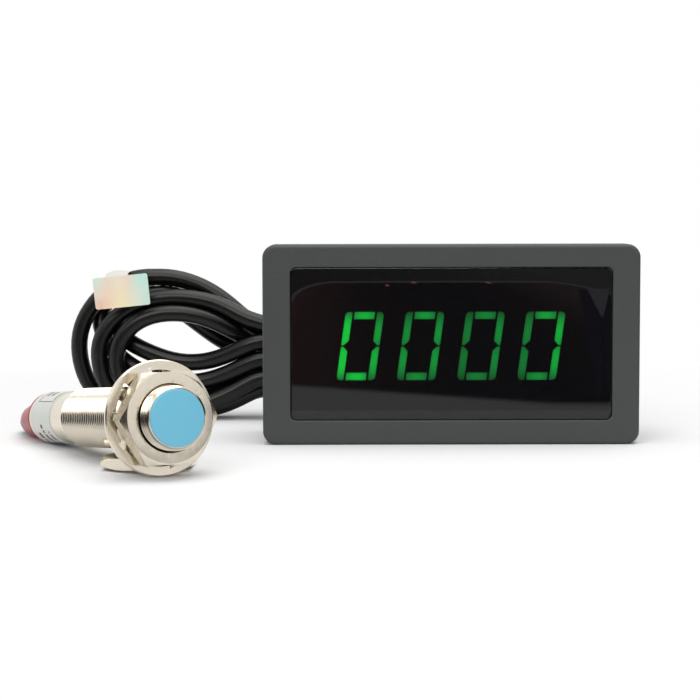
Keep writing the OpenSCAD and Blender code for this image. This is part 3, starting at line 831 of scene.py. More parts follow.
    def build(self) -> None:
        """Sets up the whole studio."""
        bpy.context.scene.view_settings.view_transform = "Standard"
        self.world()
        self.floor()
        self.cards()
        for lamp in self.lamps:
            self.lamp(*lamp)


# Cable


@dataclass
class Cable:
    """The sensor's cable: tail, hank of five loops tied at its waist, and lead to the meter."""

    diameter: float = 4.0
    step: float = 1.6
    touch: float = 4.02
    gap_steps: int = 6
    rounds: int = 400
    push: float = 0.9
    return_share: float = 0.999
    even_passes: int = 9
    drift_passes: int = 3
    low: Point = (-85.6, 43.0, 2.0)
    high: Point = (18.7, 54.0, 33.3)
    waist: Flat = (-34.4, -30.6)
    lobe_middle: Flat = (6.0, 18.5)
    lobe_radius: float = 12.3
    layer_step: float = 4.2
    lead: Points = (
        (5, 43, 2), (1, 42.4, 2), (-3, 40.2, 2.1), (-5.6, 36.6, 2.7), (-6.4, 32.6, 4), (-6.4, 29, 6),
    )
    tail: Points = (
        (-91.9, 20.6, 2.3), (-90.9, 26, 2.2), (-88.8, 31.4, 2), (-85.6, 36.4, 2), (-81.4, 40.2, 2),
        (-76, 42.4, 2), (-70, 43, 2), (-65, 43, 2), (-60, 43, 2),
    )
    rise: Points = (
        (-54, 43.2, 4.6), (-48.3, 43.2, 7), (-44.4, 43.2, 9.4), (-40.6, 43.2, 11.2), (-37, 43.2, 9.2),
    )
    outer_loop: Points = (
        (-36, 47.4, 19.4), (-41.7, 48, 19.6), (-46, 48.6, 21.9), (-51.2, 49.4, 26.6), (-56.6, 50, 30.2),
        (-61.9, 50, 32.3), (-67.1, 50, 33.1), (-72.4, 50, 32.7), (-77.9, 50, 30.5), (-82.3, 50, 26.2),
        (-84.9, 50, 21.2), (-85.4, 50, 16.2), (-84.4, 50, 11), (-81.6, 50.4, 5.8), (-76, 50.8, 3),
        (-68, 51.2, 2.4), (-58, 51.4, 3), (-48, 51.6, 5), (-36, 51.6, 8),
    )
    second_loop: Points = (
        (-36.6, 43.2, 20), (-41.6, 43.4, 21.2), (-46, 44.4, 22.3), (-50.5, 45.4, 24.9), (-54, 45.6, 26.2),
        (-59, 45.8, 27.2), (-64.4, 46.2, 27.4), (-69.6, 46.6, 26.6), (-73.6, 46.6, 25), (-77, 46.4, 22.3),
        (-79.4, 46.2, 19.1), (-80.1, 45.8, 15.2), (-79.7, 46.2, 11.8), (-77.6, 46.8, 6.6), (-72, 47.4, 3),
        (-65, 47.4, 2.2), (-58, 47.4, 2), (-52, 47.4, 3), (-46, 47.4, 5.6), (-41.8, 47.4, 7.8),
        (-36.4, 47.4, 8.2),
    )
    front_loop: Points = (
        (-36, 47.4, 15.8), (-43.2, 45.6, 18.4), (-48.8, 43.6, 21.5), (-54.6, 43.2, 24.4), (-60.5, 43.2, 25.6),
        (-64.8, 43.2, 25.5), (-69.3, 43.2, 24.2), (-72.8, 43.2, 21.7), (-75, 43.2, 17.9),
        (-75.5, 43.4, 13.7), (-73.7, 44, 9.4), (-69, 45, 7), (-62, 46.4, 6.2), (-54, 47.2, 7.6),
        (-46, 47.4, 10.2), (-36, 47.4, 12),
    )
    rear_loop: Points = (
        (-36, 51.6, 16), (-43, 51.6, 16.2), (-47.5, 51.6, 16.8), (-51, 51.6, 18.2), (-55.5, 51.6, 21.3),
        (-60, 51.6, 24.7), (-65, 52.6, 28), (-70, 53.8, 30.2), (-75, 54, 30.2), (-79, 54, 27.6),
        (-80.8, 53.8, 23.8), (-80.2, 52.4, 19.9), (-78, 50.4, 16.4), (-75, 48.4, 13.4), (-71, 47, 10.8),
        (-65.8, 46, 8.7), (-61, 46, 8.1), (-57, 45.6, 8.4), (-51.8, 44.8, 10.1), (-47, 43.8, 12.6),
        (-43.6, 43.2, 14.4), (-40.4, 43.2, 15.6), (-37, 43.2, 13.4),
    )
    eye_loop: Points = (
        (-36, 51.6, 19.4), (-43, 51.6, 19.6), (-50, 51, 23), (-56, 50.2, 26.5), (-61, 50, 28.5),
        (-65.6, 50, 29.4), (-69.6, 49.8, 28.8), (-73.6, 49.6, 26.4), (-76, 49.2, 23), (-75.2, 48.4, 19.8),
        (-71.4, 47.4, 17.4), (-67, 46.8, 15.4), (-63, 46.6, 14.1), (-59.3, 46.2, 13.7), (-55.5, 45.8, 13.9),
        (-51.8, 45, 14.9), (-47, 43.8, 16.9), (-43.6, 43.2, 18.6), (-40.4, 43.2, 19.5), (-37, 43.2, 17.4),
    )
    last_turn: Points = (
        (-27, 47.2, 12.8), (-20, 46.2, 16.4), (-12, 44.6, 21.6), (-4, 43.4, 27), (3, 43, 30.2),
        (8.6, 43, 30.2), (13.6, 43, 27.4), (17, 43, 22.8), (18.4, 43, 17), (17.6, 43, 11.4),
        (14.8, 43, 6.6), (10.4, 43, 3.2),
    )

    def right_turn(self, start: Flat, end: Flat, layer: int) -> list[Point]:
        """Points of one turn of the right lobe, from the waist's foot round to its top.

        Args:
            start: Depth and height where it leaves the waist.
            end: Depth and height where it comes back.
            layer: 0 for an outer turn, 1 for one inside it.

        Returns:
            The turn's points, with the waist's slots at both ends.
        """
        radius = self.lobe_radius - self.layer_step * layer
        across, up = self.lobe_middle
        left, right = self.waist
        (y0, z0), (y1, z1), y = start, end, (start[0] + end[0]) / 2
        points = [(left, y0, z0), (right, y0, z0), (-29, y0, z0)]
        points += [(-21, y0 * 0.7 + y * 0.3, z0 * 0.4 + (up - radius) * 0.6)]
        points += [(-12, y, up - radius), (-3, y, up - radius)]
        for degrees in range(-90, 91, 30):
            angle = math.radians(degrees)
            points.append((across + radius * math.cos(angle), y, up + radius * math.sin(angle)))
        points += [(-1.5, y, up + radius - 0.7), (-9, y, up + radius - 2.4 - 0.3 * layer)]
        points += [(-16, y * 0.7 + y1 * 0.3, (up + radius) * 0.55 + z1 * 0.45 - 2.2 + 1.4 * layer)]
        points += [(-23, y * 0.3 + y1 * 0.7, (up + radius) * 0.2 + z1 * 0.8 - 0.6), (-29, y1, z1)]
        return points + [(right, y1, z1), (left, y1, z1)]

    def route(self, boot_end: Vector, boot_way: Vector) -> np.ndarray:
        """The listed points of the whole cable, from the sensor's boot to the meter.

        Args:
            boot_end: Middle of the boot's end face.
            boot_way: Direction in which the cable leaves it.

        Returns:
            The points, in millimetres.
        """
        points = [tuple(boot_end), tuple(boot_end + 4 * boot_way), *self.tail, *self.rise]
        for start, end, layer, loop in (
            ((43.2, 8), (47.4, 20), 0, self.outer_loop),
            ((51.6, 8), (51.6, 16), 1, self.rear_loop),
            ((43.2, 12), (43.2, 20), 1, self.second_loop),
            ((47.4, 8), (51.6, 20), 0, self.eye_loop),
            ((43.2, 16), (47.4, 16), 1, self.front_loop),
        ):
            points += [*self.right_turn(start, end, layer), *loop]
        points += [*((x, 47.4, 12) for x in self.waist), *self.last_turn, *self.lead]
        return np.array(points, float)

    def curve_through(self, points: np.ndarray) -> np.ndarray:
        """A smooth line through the points, in even steps."""
        line = []
        count = len(points)
        for i in range(count - 1):
            a, b = points[max(i - 1, 0)], points[i]
            c, d = points[i + 1], points[min(i + 2, count - 1)]
            for t in np.linspace(0, 1, 10, endpoint=False):
                cubic = (3 * b - a - 3 * c + d) * t**3
                line.append(0.5 * (2 * b + (c - a) * t + (2 * a - 5 * b + 4 * c - d) * t**2 + cubic))
        line = np.array(line + [points[-1]])
        along = np.r_[0, np.cumsum(np.linalg.norm(np.diff(line, axis=0), axis=1))]
        places = np.linspace(0, along[-1], int(round(along[-1] / self.step)) + 1)
        line = np.stack([np.interp(places, along, line[:, k]) for k in range(3)], 1)
        return self.evened(2 * line - self.evened(line, self.even_passes), self.even_passes)

    def evened(self, line: np.ndarray, passes: int) -> np.ndarray:
        """The line with its kinks smoothed out; its ends stay."""
        line = line.copy()
        for _ in range(passes):
            line[1:-1] = (line[:-2] + 2 * line[1:-1] + line[2:]) / 4
        return line

    def freedom(self, line: np.ndarray) -> np.ndarray:
        """How freely each step may move: 0 on the tail and the lead, 1 in the hank."""
        count = len(line)
        loose = np.ones(count)
        first = int(np.linalg.norm(line - np.array(self.tail[-1]), axis=1).argmin())
        last = count - 1 - int(np.linalg.norm(line[::-1] - np.array(self.lead[0]), axis=1).argmin())
        loose[: first + 1] = 0
        loose[last:] = 0
        for k in range(1, 5):
            loose[first + k] = loose[last - k] = k / 5
        return loose[:, None]

    def settle(self, line: np.ndarray) -> np.ndarray:
        """Lets strands that lie in each other part until they only touch.

        Args:
            line: The cable's middle line, in even steps.

        Returns:
            The settled line; its free ends stay where they were.
        """
        aim, line = line.copy(), line.copy()
        free = self.freedom(line)
        for count in range(self.rounds):
            if count % 10 == 0:
                near = ((line[:, None] - line[None]) ** 2).sum(2) < (self.touch + 2.5) ** 2
                one, two = np.where(np.triu(near, self.gap_steps))
            apart = line[one] - line[two]
            far = np.linalg.norm(apart, axis=1)
            hit = far < self.touch
            if hit.any():
                i, j = one[hit], two[hit]
                need = (self.touch - far[hit]) / 2
                push = apart[hit] / np.maximum(far[hit], 1e-6)[:, None] * need[:, None]
                total, hits = np.zeros_like(line), np.zeros(len(line))
                for ends, way in ((i, push), (j, -push)):
                    np.add.at(total, ends, way * free[ends])
                    np.add.at(hits, ends, 1)
                line = line + self.push * total / np.sqrt(np.maximum(hits, 1))[:, None]
            moved = line - aim
            even = self.evened(moved, self.drift_passes)
            line = aim + (moved * (1 - free) + even * free) * self.return_share
            line = np.where(free > 0.99, np.clip(line, self.low, self.high), line)
        return line

    def build(self, boot_end: Vector, boot_way: Vector) -> Piece:
        """Makes the cable as one curve.

        Args:
            boot_end: Middle of the boot's end face.
            boot_way: Direction in which the cable leaves it.

        Returns:
            The cable.
        """
        line = self.settle(self.curve_through(self.route(boot_end, boot_way)))
        data = bpy.data.curves.new("cable", "CURVE")
        data.dimensions = "3D"
        data.bevel_depth = self.diameter / 2 * MM
        data.bevel_resolution = 5
        data.use_fill_caps = True
        spline = data.splines.new("POLY")
        spline.points.add(len(line) - 1)
        spline.points.foreach_set("co", np.c_[line * MM, np.ones(len(line))].ravel())
        spline.use_smooth = True
        cable = linked("cable", data)
        data.materials.append(material_of(SHEATH))
        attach(cable, BODY)
        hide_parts("cable_tail", "cable_hank", "cable_lead")
        length = float(np.linalg.norm(np.diff(line, axis=0), axis=1).sum())
        LOG.info("cable: %.0f mm long, %d points", length, len(line))
        return cable


# Meter


@dataclass
class MeterCase:
    """Moulded case: bezel, body behind the panel and two snap tongues, in one piece."""

    width: float = 79.0
    height: float = 42.0
    depth: float = 7.0
    corner: float = 2.8
    edge: float = 0.8
    body_width: float = 76.0
    body_height: float = 39.0
    body_depth: float = 19.0
    body_corner: float = 1.2
    inner_corner: float = 0.8
    wall: float = 1.8
    window: Flat = (67.4, 32.1)
    window_z: float = 21.2
    window_corner: float = 1.3
    lip: float = 0.3
    ledge: float = 2.2
    lens_back: float = -1.7
    ledge_thickness: float = 1.4
    tongue_half: float = 5.0
    tongue_run: Flat = (1.2, 14.2)
    slit: float = 1.0
    catch_half: float = 4.0
    catch_run: Flat = (2.5, 10.9)
    catch_top: Flat = (3.1, 3.9)
    catch_height: float = 1.1

    def opening(self, name: str, size: Flat, middle: float, start: float, end: float, corner: float) -> Piece:
        """A rounded cutter through the front, of a size and at a height."""
        half_w, half_h = size[0] / 2, size[1] / 2
        return rounded_slab(name, (-half_w, start, middle - half_h), (half_w, end, middle + half_h), corner)

    def bezel(self) -> Piece:
        """The bezel's block, with its corners and its front edge rounded."""
        side, front = self.width / 2, -self.depth / 2
        shell = rounded_slab("meter_case", (-side, front, 0), (side, -front, self.height), self.corner, 12)
        bevel_edges(shell, self.edge, 5, in_front(front))
        return shell

    def hollow(self, shell: Piece) -> None:
        """Adds the body behind the panel and cuts the window, its ledge and the inside."""
        front, seat, middle = -self.depth / 2, self.depth / 2, self.height / 2
        back = seat + self.body_depth
        outside = (self.body_width, self.body_height)
        body = self.opening("body", outside, middle, seat - 1, back, self.body_corner)
        combine(shell, body, "UNION")
        view = self.opening("cut", self.window, self.window_z, front - 1, self.lens_back, self.window_corner)
        combine(shell, view)
        ledge = (self.window[0] - 2 * self.ledge, self.window[1] - 2 * self.ledge)
        combine(shell, self.opening("cut", ledge, self.window_z, front, seat, self.inner_corner))
        inside = (self.body_width - 2 * self.wall, self.body_height - 2 * self.wall)
        start = self.lens_back + self.ledge_thickness
        combine(shell, self.opening("cut", inside, middle, start, back + 2, self.inner_corner))

    def tongues(self, shell: Piece) -> None:
        """Cuts the slots that free the snap tongues, and adds their catches."""
        seat, middle, side = self.depth / 2, self.height / 2, self.body_width / 2
        start, end = (seat + y for y in self.tongue_run)
        for way in (-1, 1):
            x = sorted((way * (side - self.wall - 1), way * (side + 1)))
            half = self.slit / 2
            for z in (middle - self.tongue_half, middle + self.tongue_half):
                combine(shell, block("cut", (x[0], start, z - half), (x[1], end, z + half)))
            low, high = middle - self.tongue_half, middle + self.tongue_half
            combine(shell, block("cut", (x[0], end - self.slit, low), (x[1], end, high)))
            x = sorted((way * (side - 0.2), way * (side + self.catch_height)))
            near, far = (seat + y for y in self.catch_run)
            half = self.catch_half
            catch = block("catch", (x[0], near, middle - half), (x[1], far, middle + half))
            for point in catch.data.vertices:
                if abs(point.co.x) > side + self.catch_height / 2:
                    point.co.y = seat + self.catch_top[point.co.y > seat + self.tongue_half]
            combine(shell, catch, "UNION")

    def build(self) -> Piece:
        """Makes the case.

        Returns:
            The case.
        """
        flat = in_front(-self.depth / 2)
        half_w, half_h = self.window[0] / 2 + 0.1, self.window[1] / 2 + 0.1
        shell = self.bezel()
        self.hollow(shell)
        self.tongues(shell)

        def on_lip(middle: Vector, way: Vector) -> bool:
            """Whether an edge lies on the window's lip."""
            return flat(middle, way) and abs(middle.x) < half_w and abs(middle.z - self.window_z) < half_h

        bevel_edges(shell, self.lip, 3, on_lip)
        return finish_piece(shell, SPARKED_ABS, ["case_shell"], flat=True)


@dataclass
class Window:
    """Smoked window sheet with a polished chamfer round its front."""

    width: float = 67.16
    height: float = 31.86
    middle: float = 21.2
    front: float = -3.2
    thickness: float = 1.5
    corner: float = 1.2
    chamfer: float = 0.22

    def build(self) -> Piece:
        """Makes the window sheet.

        Returns:
            The sheet.
        """
        half_w, half_h, back = self.width / 2, self.height / 2, self.front + self.thickness
        low, high = (-half_w, self.front, self.middle - half_h), (half_w, back, self.middle + half_h)
        sheet = rounded_slab("smoked_window", low, high, self.corner)
        bevel_edges(sheet, self.chamfer, 2, in_front(self.front))
        return finish_piece(sheet, SMOKED_ACRYLIC, ["window_lens"], flat=True)


@dataclass
class DisplayModule:
    """Four seven-segment digits, all showing nought, behind the window."""

    face: float = -0.7
    middle: float = 20.6
    digit_height: float = 14.3
    digit_width: float = 8.05
    bar: float = 1.45
    gap: float = 0.44
    pitch: float = 12.7
    lean: float = 8.0
    depth: float = 1.2
    proud: float = 0.02
    rounding: float = 0.8
    cut: Flat = (0.5, 0.95)
    rim: float = 0.18
    die_shift: float = 0.25
    levels: Sequence[Sequence[float]] = (
        (1.0, 0.85, 1.15, 1.15, 0.78, 0.62),
        (0.5, 0.6, 0.56, 0.5, 0.56, 0.56),
        (0.4, 0.46, 0.34, 0.38, 0.46, 0.5),
        (0.52, 0.66, 0.38, 0.42, 0.72, 0.78),
    )

    def slanted(self, outline: Outline, x: float) -> list[Flat]:
        """An upright outline, leaned and moved to its digit."""
        slope = math.tan(math.radians(self.lean))
        return [(x + px + pz * slope, self.middle + pz) for px, pz in outline]

    def bar_outline(self, side: int) -> list[Flat]:
        """Outline of the top bar, or with side -1 of the bottom one."""
        x, z = self.digit_width / 2 - self.bar - self.gap, self.digit_height / 2
        return [(-x, side * z), (x, side * z), (x, side * (z - self.bar)), (-x, side * (z - self.bar))]

    def upright_outline(self, side: int, up: int) -> list[Flat]:
        """Outline of one upright: its outer corner rounded, its inner one cut at the middle."""
        outer, inner = side * self.digit_width / 2, side * (self.digit_width / 2 - self.bar)
        low, high, round_off = up * self.gap / 2, up * self.digit_height / 2, self.rounding
        arc = [
            (outer - side * round_off * (1 - math.cos(a)), high - up * round_off * (1 - math.sin(a)))
            for a in (math.radians(v) for v in (90, 60, 30, 0))
        ]
        cut = [(outer - side * self.cut[0], low), (inner, low + up * self.cut[1])]
        return [(outer, low), *cut, (inner, high), *arc]

    def tile(self, name: str, outline: Outline) -> Piece:
        """Makes one segment: a flat shape, given depth and a soft inner field.

        Args:
            name: Name of the piece.
            outline: Its corners, across and up.

        Returns:
            The segment.
        """
        circle = bpy.ops.mesh.primitive_circle_add
        tile = added(name, circle, vertices=len(outline), radius=1, fill_type="NGON")
        for point, (x, z) in zip(tile.data.vertices, outline):
            point.co = Vector((x, self.face - self.proud, z))
        with editing(tile):
            bpy.ops.mesh.select_all(action="SELECT")
            bpy.ops.mesh.extrude_region_move(TRANSFORM_OT_translate={"value": (0, self.depth, 0)})
            face_outwards()
            pick(tile, Part.FACES, lambda middle, normal: normal.y < -0.9)
            bpy.ops.mesh.inset(thickness=self.rim)
        return tile

    def light(self, tile: Piece, outline: Outline, way: Flat, die: float, level: float) -> None:
        """Writes a tile's level, and how far each point is from its die along and across the bar.

        Args:
            tile: The segment.
            outline: Its corners, across and up.
            way: Direction of the bar.
            die: How far the die sits from the bar's middle, in half lengths.
            level: Brightness of the segment.
        """
        points = [(point.co.x, point.co.z) for point in tile.data.vertices]
        write_values(tile, "level", [level] * len(points))
        for name, (a, b), offset in (("along", way, die), ("across", (-way[1], way[0]), 0.0)):
            ends = [x * a + z * b for x, z in outline]
            low, high = min(ends), max(ends)
            places = [(2 * (x * a + z * b) - high - low) / (high - low) + offset for x, z in points]
            write_values(tile, name, places)

    def build(self) -> Piece:
        """Makes the lit segments.

        Returns:
            The four digits, as one piece.
        """
        tiles = []
        lean = math.radians(self.lean)
        upright = (math.sin(lean), math.cos(lean))
        outlines = [(self.bar_outline(side), (1.0, 0.0), 0.0) for side in (-1, 1)]
        outlines += [
            (self.upright_outline(side, up), upright, self.die_shift * up) for side in (-1, 1) for up in (-1, 1)
        ]
        for digit, levels in enumerate(self.levels):
            x = (digit - 1.5) * self.pitch
            for number, ((outline, way, die), level) in enumerate(zip(outlines, levels)):
                flat = self.slanted(outline, x)
                tile = self.tile(f"segment_{digit}_{number}", flat)
                self.light(tile, flat, way, die, level)
                tiles.append(tile)
        return finish_piece(join("lit_digits", tiles), LIT_EPOXY, ["lit_segments"])


# Sticker


@dataclass
class Sticker:
    """Bare foil sticker on the front of the hank; a strip of it is folded over the outer loop."""

    corner_x: float = -80.15
    corner_z: float = 26.05
    front: float = 40.75
    width: float = 12.75
    height: float = 7.3
    rounding: float = 0.45
    lean: float = 5.6
    thickness: float = 0.14
    fold: Flat = (2.9, 8.1)
    columns: int = 34
    rows: int = 18
    bow: float = 0.35
    curl: float = 0.9
    curl_x: float = 1.5
    curl_reach: float = 3.2
    strip_overlap: float = 0.45
    hump_run: Flat = (0.18, 0.72)
    hump_rise: Flat = (0.55, 0.75)
    strip_path: Outline = (
        (0.0, -0.6), (0.1, 0.0), (1.6, 0.8), (4.4, 1.2), (7.4, 1.25), (9.4, 1.0), (11.0, 0.3), (11.8, -1.0),
        (11.9, -2.4),
    )

    def sheet(self) -> Piece:
        """The front sheet: round corners, a slight bow and one lifted corner."""
        sheet = grid("foil_sticker", self.columns, self.rows)
        round_off = self.rounding
        for point in sheet.data.vertices:
            across, up = (point.co.x + 0.5) * self.width, (point.co.y + 0.5) * self.height
            near_x = min(max(across, round_off), self.width - round_off)
            near_z = min(max(up, round_off), self.height - round_off)
            off = math.hypot(across - near_x, up - near_z)
            if across != near_x and up != near_z and off > round_off:
                across = near_x + (across - near_x) * round_off / off
                up = near_z + (up - near_z) * round_off / off
            bow = self.bow * math.sin(math.pi * across / self.width)
            off = math.hypot(across - self.curl_x, up) / self.curl_reach
            curl = self.curl * max(0.0, 1.0 - off) ** 2
            point.co = Vector((across, -bow + 0.2 + curl, up))
        return sheet

    def strip(self) -> Piece:
        """The strip that goes from the sheet's top edge over the outer loop and down behind it."""
        steps, (left, right) = len(self.strip_path) - 1, self.fold
        strip = grid("foil_strip", 12, steps)
        for point in strip.data.vertices:
            side = point.co.x + 0.5
            back, rise = self.strip_path[round((point.co.y + 0.5) * steps)]
            hump = math.sin(math.pi * (self.hump_run[0] + self.hump_run[1] * side))
            lift = rise * (self.hump_rise[0] + self.hump_rise[1] * hump) if rise > 0 else rise
            top = self.height - self.strip_overlap + lift
            point.co = Vector((left + (right - left) * side, back + 0.1, top))
        write_values(strip, "fold", [1.0] * len(strip.data.vertices))
        return strip

    def build(self) -> Piece:
        """Makes the sticker.

        Returns:
            The sticker.
        """
        sticker = join("foil_sticker", [self.sheet(), self.strip()])
        with editing(sticker):
            face_outwards()
        apply_modifier(sticker, "SOLIDIFY", thickness=self.thickness, offset=0.0)
        place = shift(self.corner_x, self.front, self.corner_z) @ turn(-self.lean, "Y")
        return finish_piece(sticker, FOIL, ["sticker_flag"], place, 50)


# Sensor


@dataclass
class Sensor:
    """Threaded proximity sensor with its nuts, washer, label and cable boot."""

    yaw: float = 28.6
    washer_diameter: float = 21.7
    washer_inner: float = 8.9
    washer_thickness: float = 1.0
    washer_back: float = 9.2
    tooth_count: int = 10
    tooth_half: float = 1.55
    tooth_run: Flat = (5.0, 9.5)
    twist_start: float = 9.3
    twist_run: float = 1.2
    tooth_twist: float = -30.0
    rear_diameter: float = 10.7
    barrel_end: float = 66.9
    thread_start: float = 0.4
    thread_end: float = 46.0
    thread_flat: float = 0.14
    crest: float = 6.0
    root: float = 5.42
    pitch: float = 1.0
    # Length of thread behind the washer that gets painted shade.
    washer_shade_run: float = 7.0
    boot_length: float = 12.1
    boot_droop: float = 3.8
    face_x: float = -52.5
    face_y: float = -56.3
    across_flats: float = 17.0
    nut_mouth: float = 6.45
    nut_thickness: float = 4.0
    nut_bore: float = 11.4
    nut_back: float = 7.4
    loose_thickness: float = 2.3
    loose_bore: float = 10.9
    loose_lean: float = 2.0
    loose_place: Point = (-60.4, -35.8, 0.0)
    loose_slip: Flat = (-0.5, -2.0)
    film: Flat = (-54.0, -65.6)
    film_thickness: float = 0.12
    print_bars: Sequence[tuple[float, float, float, float]] = (
        (100, 140, -63.3, -63.1), (139, 140.5, -63.3, -54.5), (112, 137, -54.9, -54.45),
        (100, 112, -54.7, -54.5), (104, 122, -61.9, -60.9), (104, 122, -59.2, -58.2),
        (193, 202, -60.1, -59.1), (206, 213, -59.9, -59.0), (217, 238, -59.9, -58.9),
        (213, 229, -63.2, -62.0), (233, 245, -63.2, -62.2), (209, 213, -56.9, -56.2),
        (217, 236, -56.9, -56.1), (240, 262, -59.9, -58.9), (240, 258, -56.9, -56.1),
        (249, 262, -63.2, -62.2),
    )
    core_profile: Outline = (
        (5.06, -0.4), (5.3, -0.4), (5.38, -0.5), (5.38, -45.6), (5.35, -45.9), (5.35, -66.6), (5.1, -66.9),
        (4.8, -66.9), (4.8, -1.6), (5.06, -1.6), (5.06, -0.4),
    )
    cap_profile: Outline = (
        (0, 0), (4.85, 0), (5.12, -0.03), (5.26, -0.1), (5.33, -0.22), (5.33, -0.38), (5.05, -0.4),
        (5.05, -1.6), (4.8, -1.6), (4.8, -8), (4.0, -8), (4.0, -1.4), (0, -1.4),
    )
    boot_profile: Outline = (
        (0, -1.5), (4.4, -1.5), (4.4, 0.3), (5.2, 0.32), (5.3, 0.45), (5.3, 0.7), (5.15, 0.85), (4.3, 0.9),
        (4.15, 1.4), (4.05, 3), (3.9, 6), (3.65, 9), (3.4, 11.1), (3.15, 11.75), (2.65, 12.1), (0, 12.1),
    )
    tilt: float = field(init=False)

    def __post_init__(self) -> None:
        """Finds the tilt at which washer and rear rim both stand on the floor."""
        drop = (self.washer_diameter - self.rear_diameter) / 2
        self.tilt = math.atan(drop / (self.barrel_end - self.washer_back))

    @property
    def place(self) -> Matrix:
        """Puts what is made along +Z so that it looks out of the sensing face."""
        rise = self.washer_diameter / 2 * math.cos(self.tilt) + self.washer_back * math.sin(self.tilt)
        lift = Matrix.Rotation(math.radians(90) - self.tilt, 4, "X")
        return shift(self.face_x, self.face_y, rise) @ turn(self.yaw, "Z") @ lift

    @property
    def boot_place(self) -> Matrix:
        """Puts what is made along +Z so that it leaves the barrel's rear, drooping a little."""
        return self.place @ shift(0, 0, -self.barrel_end) @ turn(-self.boot_droop, "X") @ turn(180, "X")

    def boot_exit(self) -> tuple[Vector, Vector]:
        """Where the cable leaves the boot, and its direction there."""
        start = self.boot_place @ Vector((0, 0, self.boot_length))
        return start, (self.boot_place.to_3x3() @ Vector((0, 0, 1))).normalized()

    def nickel(self, piece: Piece, node: str, place: Matrix, smooth: float = 32.0, flat: bool = True) -> Piece:
        """Finishes a nickel-plated piece that stands for one node."""
        return finish_piece(piece, NICKEL, [node], place, smooth, flat)

    def thread(self) -> Piece:
        """Cuts the right-hand thread: one ridge, screwed along the barrel.

        Returns:
            The threaded sleeve, with its ends closed.
        """
        start, end, flat = self.thread_start, self.thread_end, self.thread_flat
        ridge = [(self.root, 0.0), (self.root, 0.09), (self.crest, 0.5 - flat / 2)]
        ridge += [(self.crest, 0.5 + flat / 2), (self.root, 0.91), (self.root, 1.0)]
        sleeve = added("threaded_barrel", bpy.ops.mesh.primitive_circle_add, vertices=len(ridge), radius=1)
        with editing(sleeve):
            shape = bmesh.from_edit_mesh(sleeve.data)
            shape.verts.ensure_lookup_table()
            for point, (radius, height) in zip(shape.verts, ridge):
                point.co = Vector((radius, 0, -end - 1.5 + height))
            for edge in list(shape.edges):
                if abs(edge.verts[0].index - edge.verts[1].index) > 1:
                    shape.edges.remove(edge)
            bmesh.update_edit_mesh(sleeve.data)
        screw = {"angle": math.tau, "screw_offset": self.pitch, "iterations": int(end - start + 3)}
        apply_modifier(sleeve, "SCREW", **screw, steps=64, render_steps=64, use_merge_vertices=False)
        with editing(sleeve):
            bpy.ops.mesh.select_all(action="SELECT")
            bpy.ops.mesh.remove_doubles(threshold=0.001)
            for height, outer in ((-start, True), (-end, False)):
                plane = {"plane_co": (0, 0, height), "plane_no": (0, 0, 1)}
                bpy.ops.mesh.select_all(action="SELECT")
                bpy.ops.mesh.bisect(**plane, clear_outer=outer, clear_inner=not outer, use_fill=True)
            face_outwards()
        # How much painted shade each point of the thread gets.
        painted_shades = []
        for point in sleeve.data.vertices:
            painted_shades.append(self.chamfered(point))
        write_values(sleeve, "painted_shade", painted_shades)
        return sleeve

    def chamfered(self, point: bpy.types.MeshVertex) -> float:
        """Moves a point of the thread within the chamfers at its ends, and says how much painted shade it gets:
        more towards the groove's root, and most just behind the washer.
        """
        radius = math.hypot(point.co.x, point.co.y)
        depth = -point.co.z - self.thread_start
        runout = self.rear_diameter / 2 + (self.thread_end + self.thread_start - depth) * 0.9 - 0.4
        limit = min(self.crest, 5.5 + depth, runout)
        # Painted shade, deepest at the groove's root.
        film = 0.8 * min(1.0, max(0.0, (self.crest - radius) / (self.crest - self.root)))
        if radius > limit > 0:
            point.co.x *= limit / radius
            point.co.y *= limit / radius
            film = 0.0
        # Painted shade on the thread just behind the washer, fading away from it.
        behind = depth + self.thread_start - self.washer_back
        if 0.0 < behind < self.washer_shade_run:
            film = max(film, 0.9 * (1.0 - (behind / self.washer_shade_run) ** 2))
        return film

    def barrel(self) -> Piece:
        """Makes the barrel: threaded sleeve, smooth rear and the recess that holds the cap."""
        whole = join("sensor_barrel_threaded", [self.thread(), turned("barrel_core", self.core_profile)])
        return self.nickel(whole, "sensor_barrel", self.place, 28, False)

    def cap(self) -> Piece:
        """Makes the blue cap, its rim rounded."""
        cap = turned("blue_cap", self.cap_profile)
        return finish_piece(cap, CAP_BLUE, ["sensing_face"], self.place)

    def nut(self, name: str, thickness: float, bore: float) -> Piece:
        """Makes a hexagon nut standing on its face, with turned chamfers and a bore chamfered at both mouths.

        Args:
            name: Name of the piece.
            thickness: Height of the nut.
            bore: Diameter of its bore.

        Returns:
            The nut, about the Z axis.
        """
        corner = self.across_flats / 2 / math.cos(math.radians(30))
        nut = rod(name, corner, 0, thickness, 6)
        nut.data.transform(turn(30, "Z"))
        face, wide, drop = self.across_flats / 2 - 0.2, corner + 0.6, 0.85
        rings = [(0, 0), (face, 0), (face + 0.35, 0.1), (wide, drop + 0.3), (wide, thickness - drop - 0.3)]
        rings += [(face + 0.35, thickness - 0.1), (face, thickness), (0, thickness)]
        combine(nut, turned("form", rings), "INTERSECT")
        mouth, half = self.nut_mouth, bore / 2
        rings = [(0, -0.5), (mouth, -0.5), (mouth, 0.0), (half, mouth - half)]
        rings += [(half, thickness - (mouth - half)), (mouth, thickness), (mouth, thickness + 0.5)]
        rings += [(0, thickness + 0.5)]
        combine(nut, turned("bore", rings))
        soften(nut, 0.14, 2, 24)
        return nut

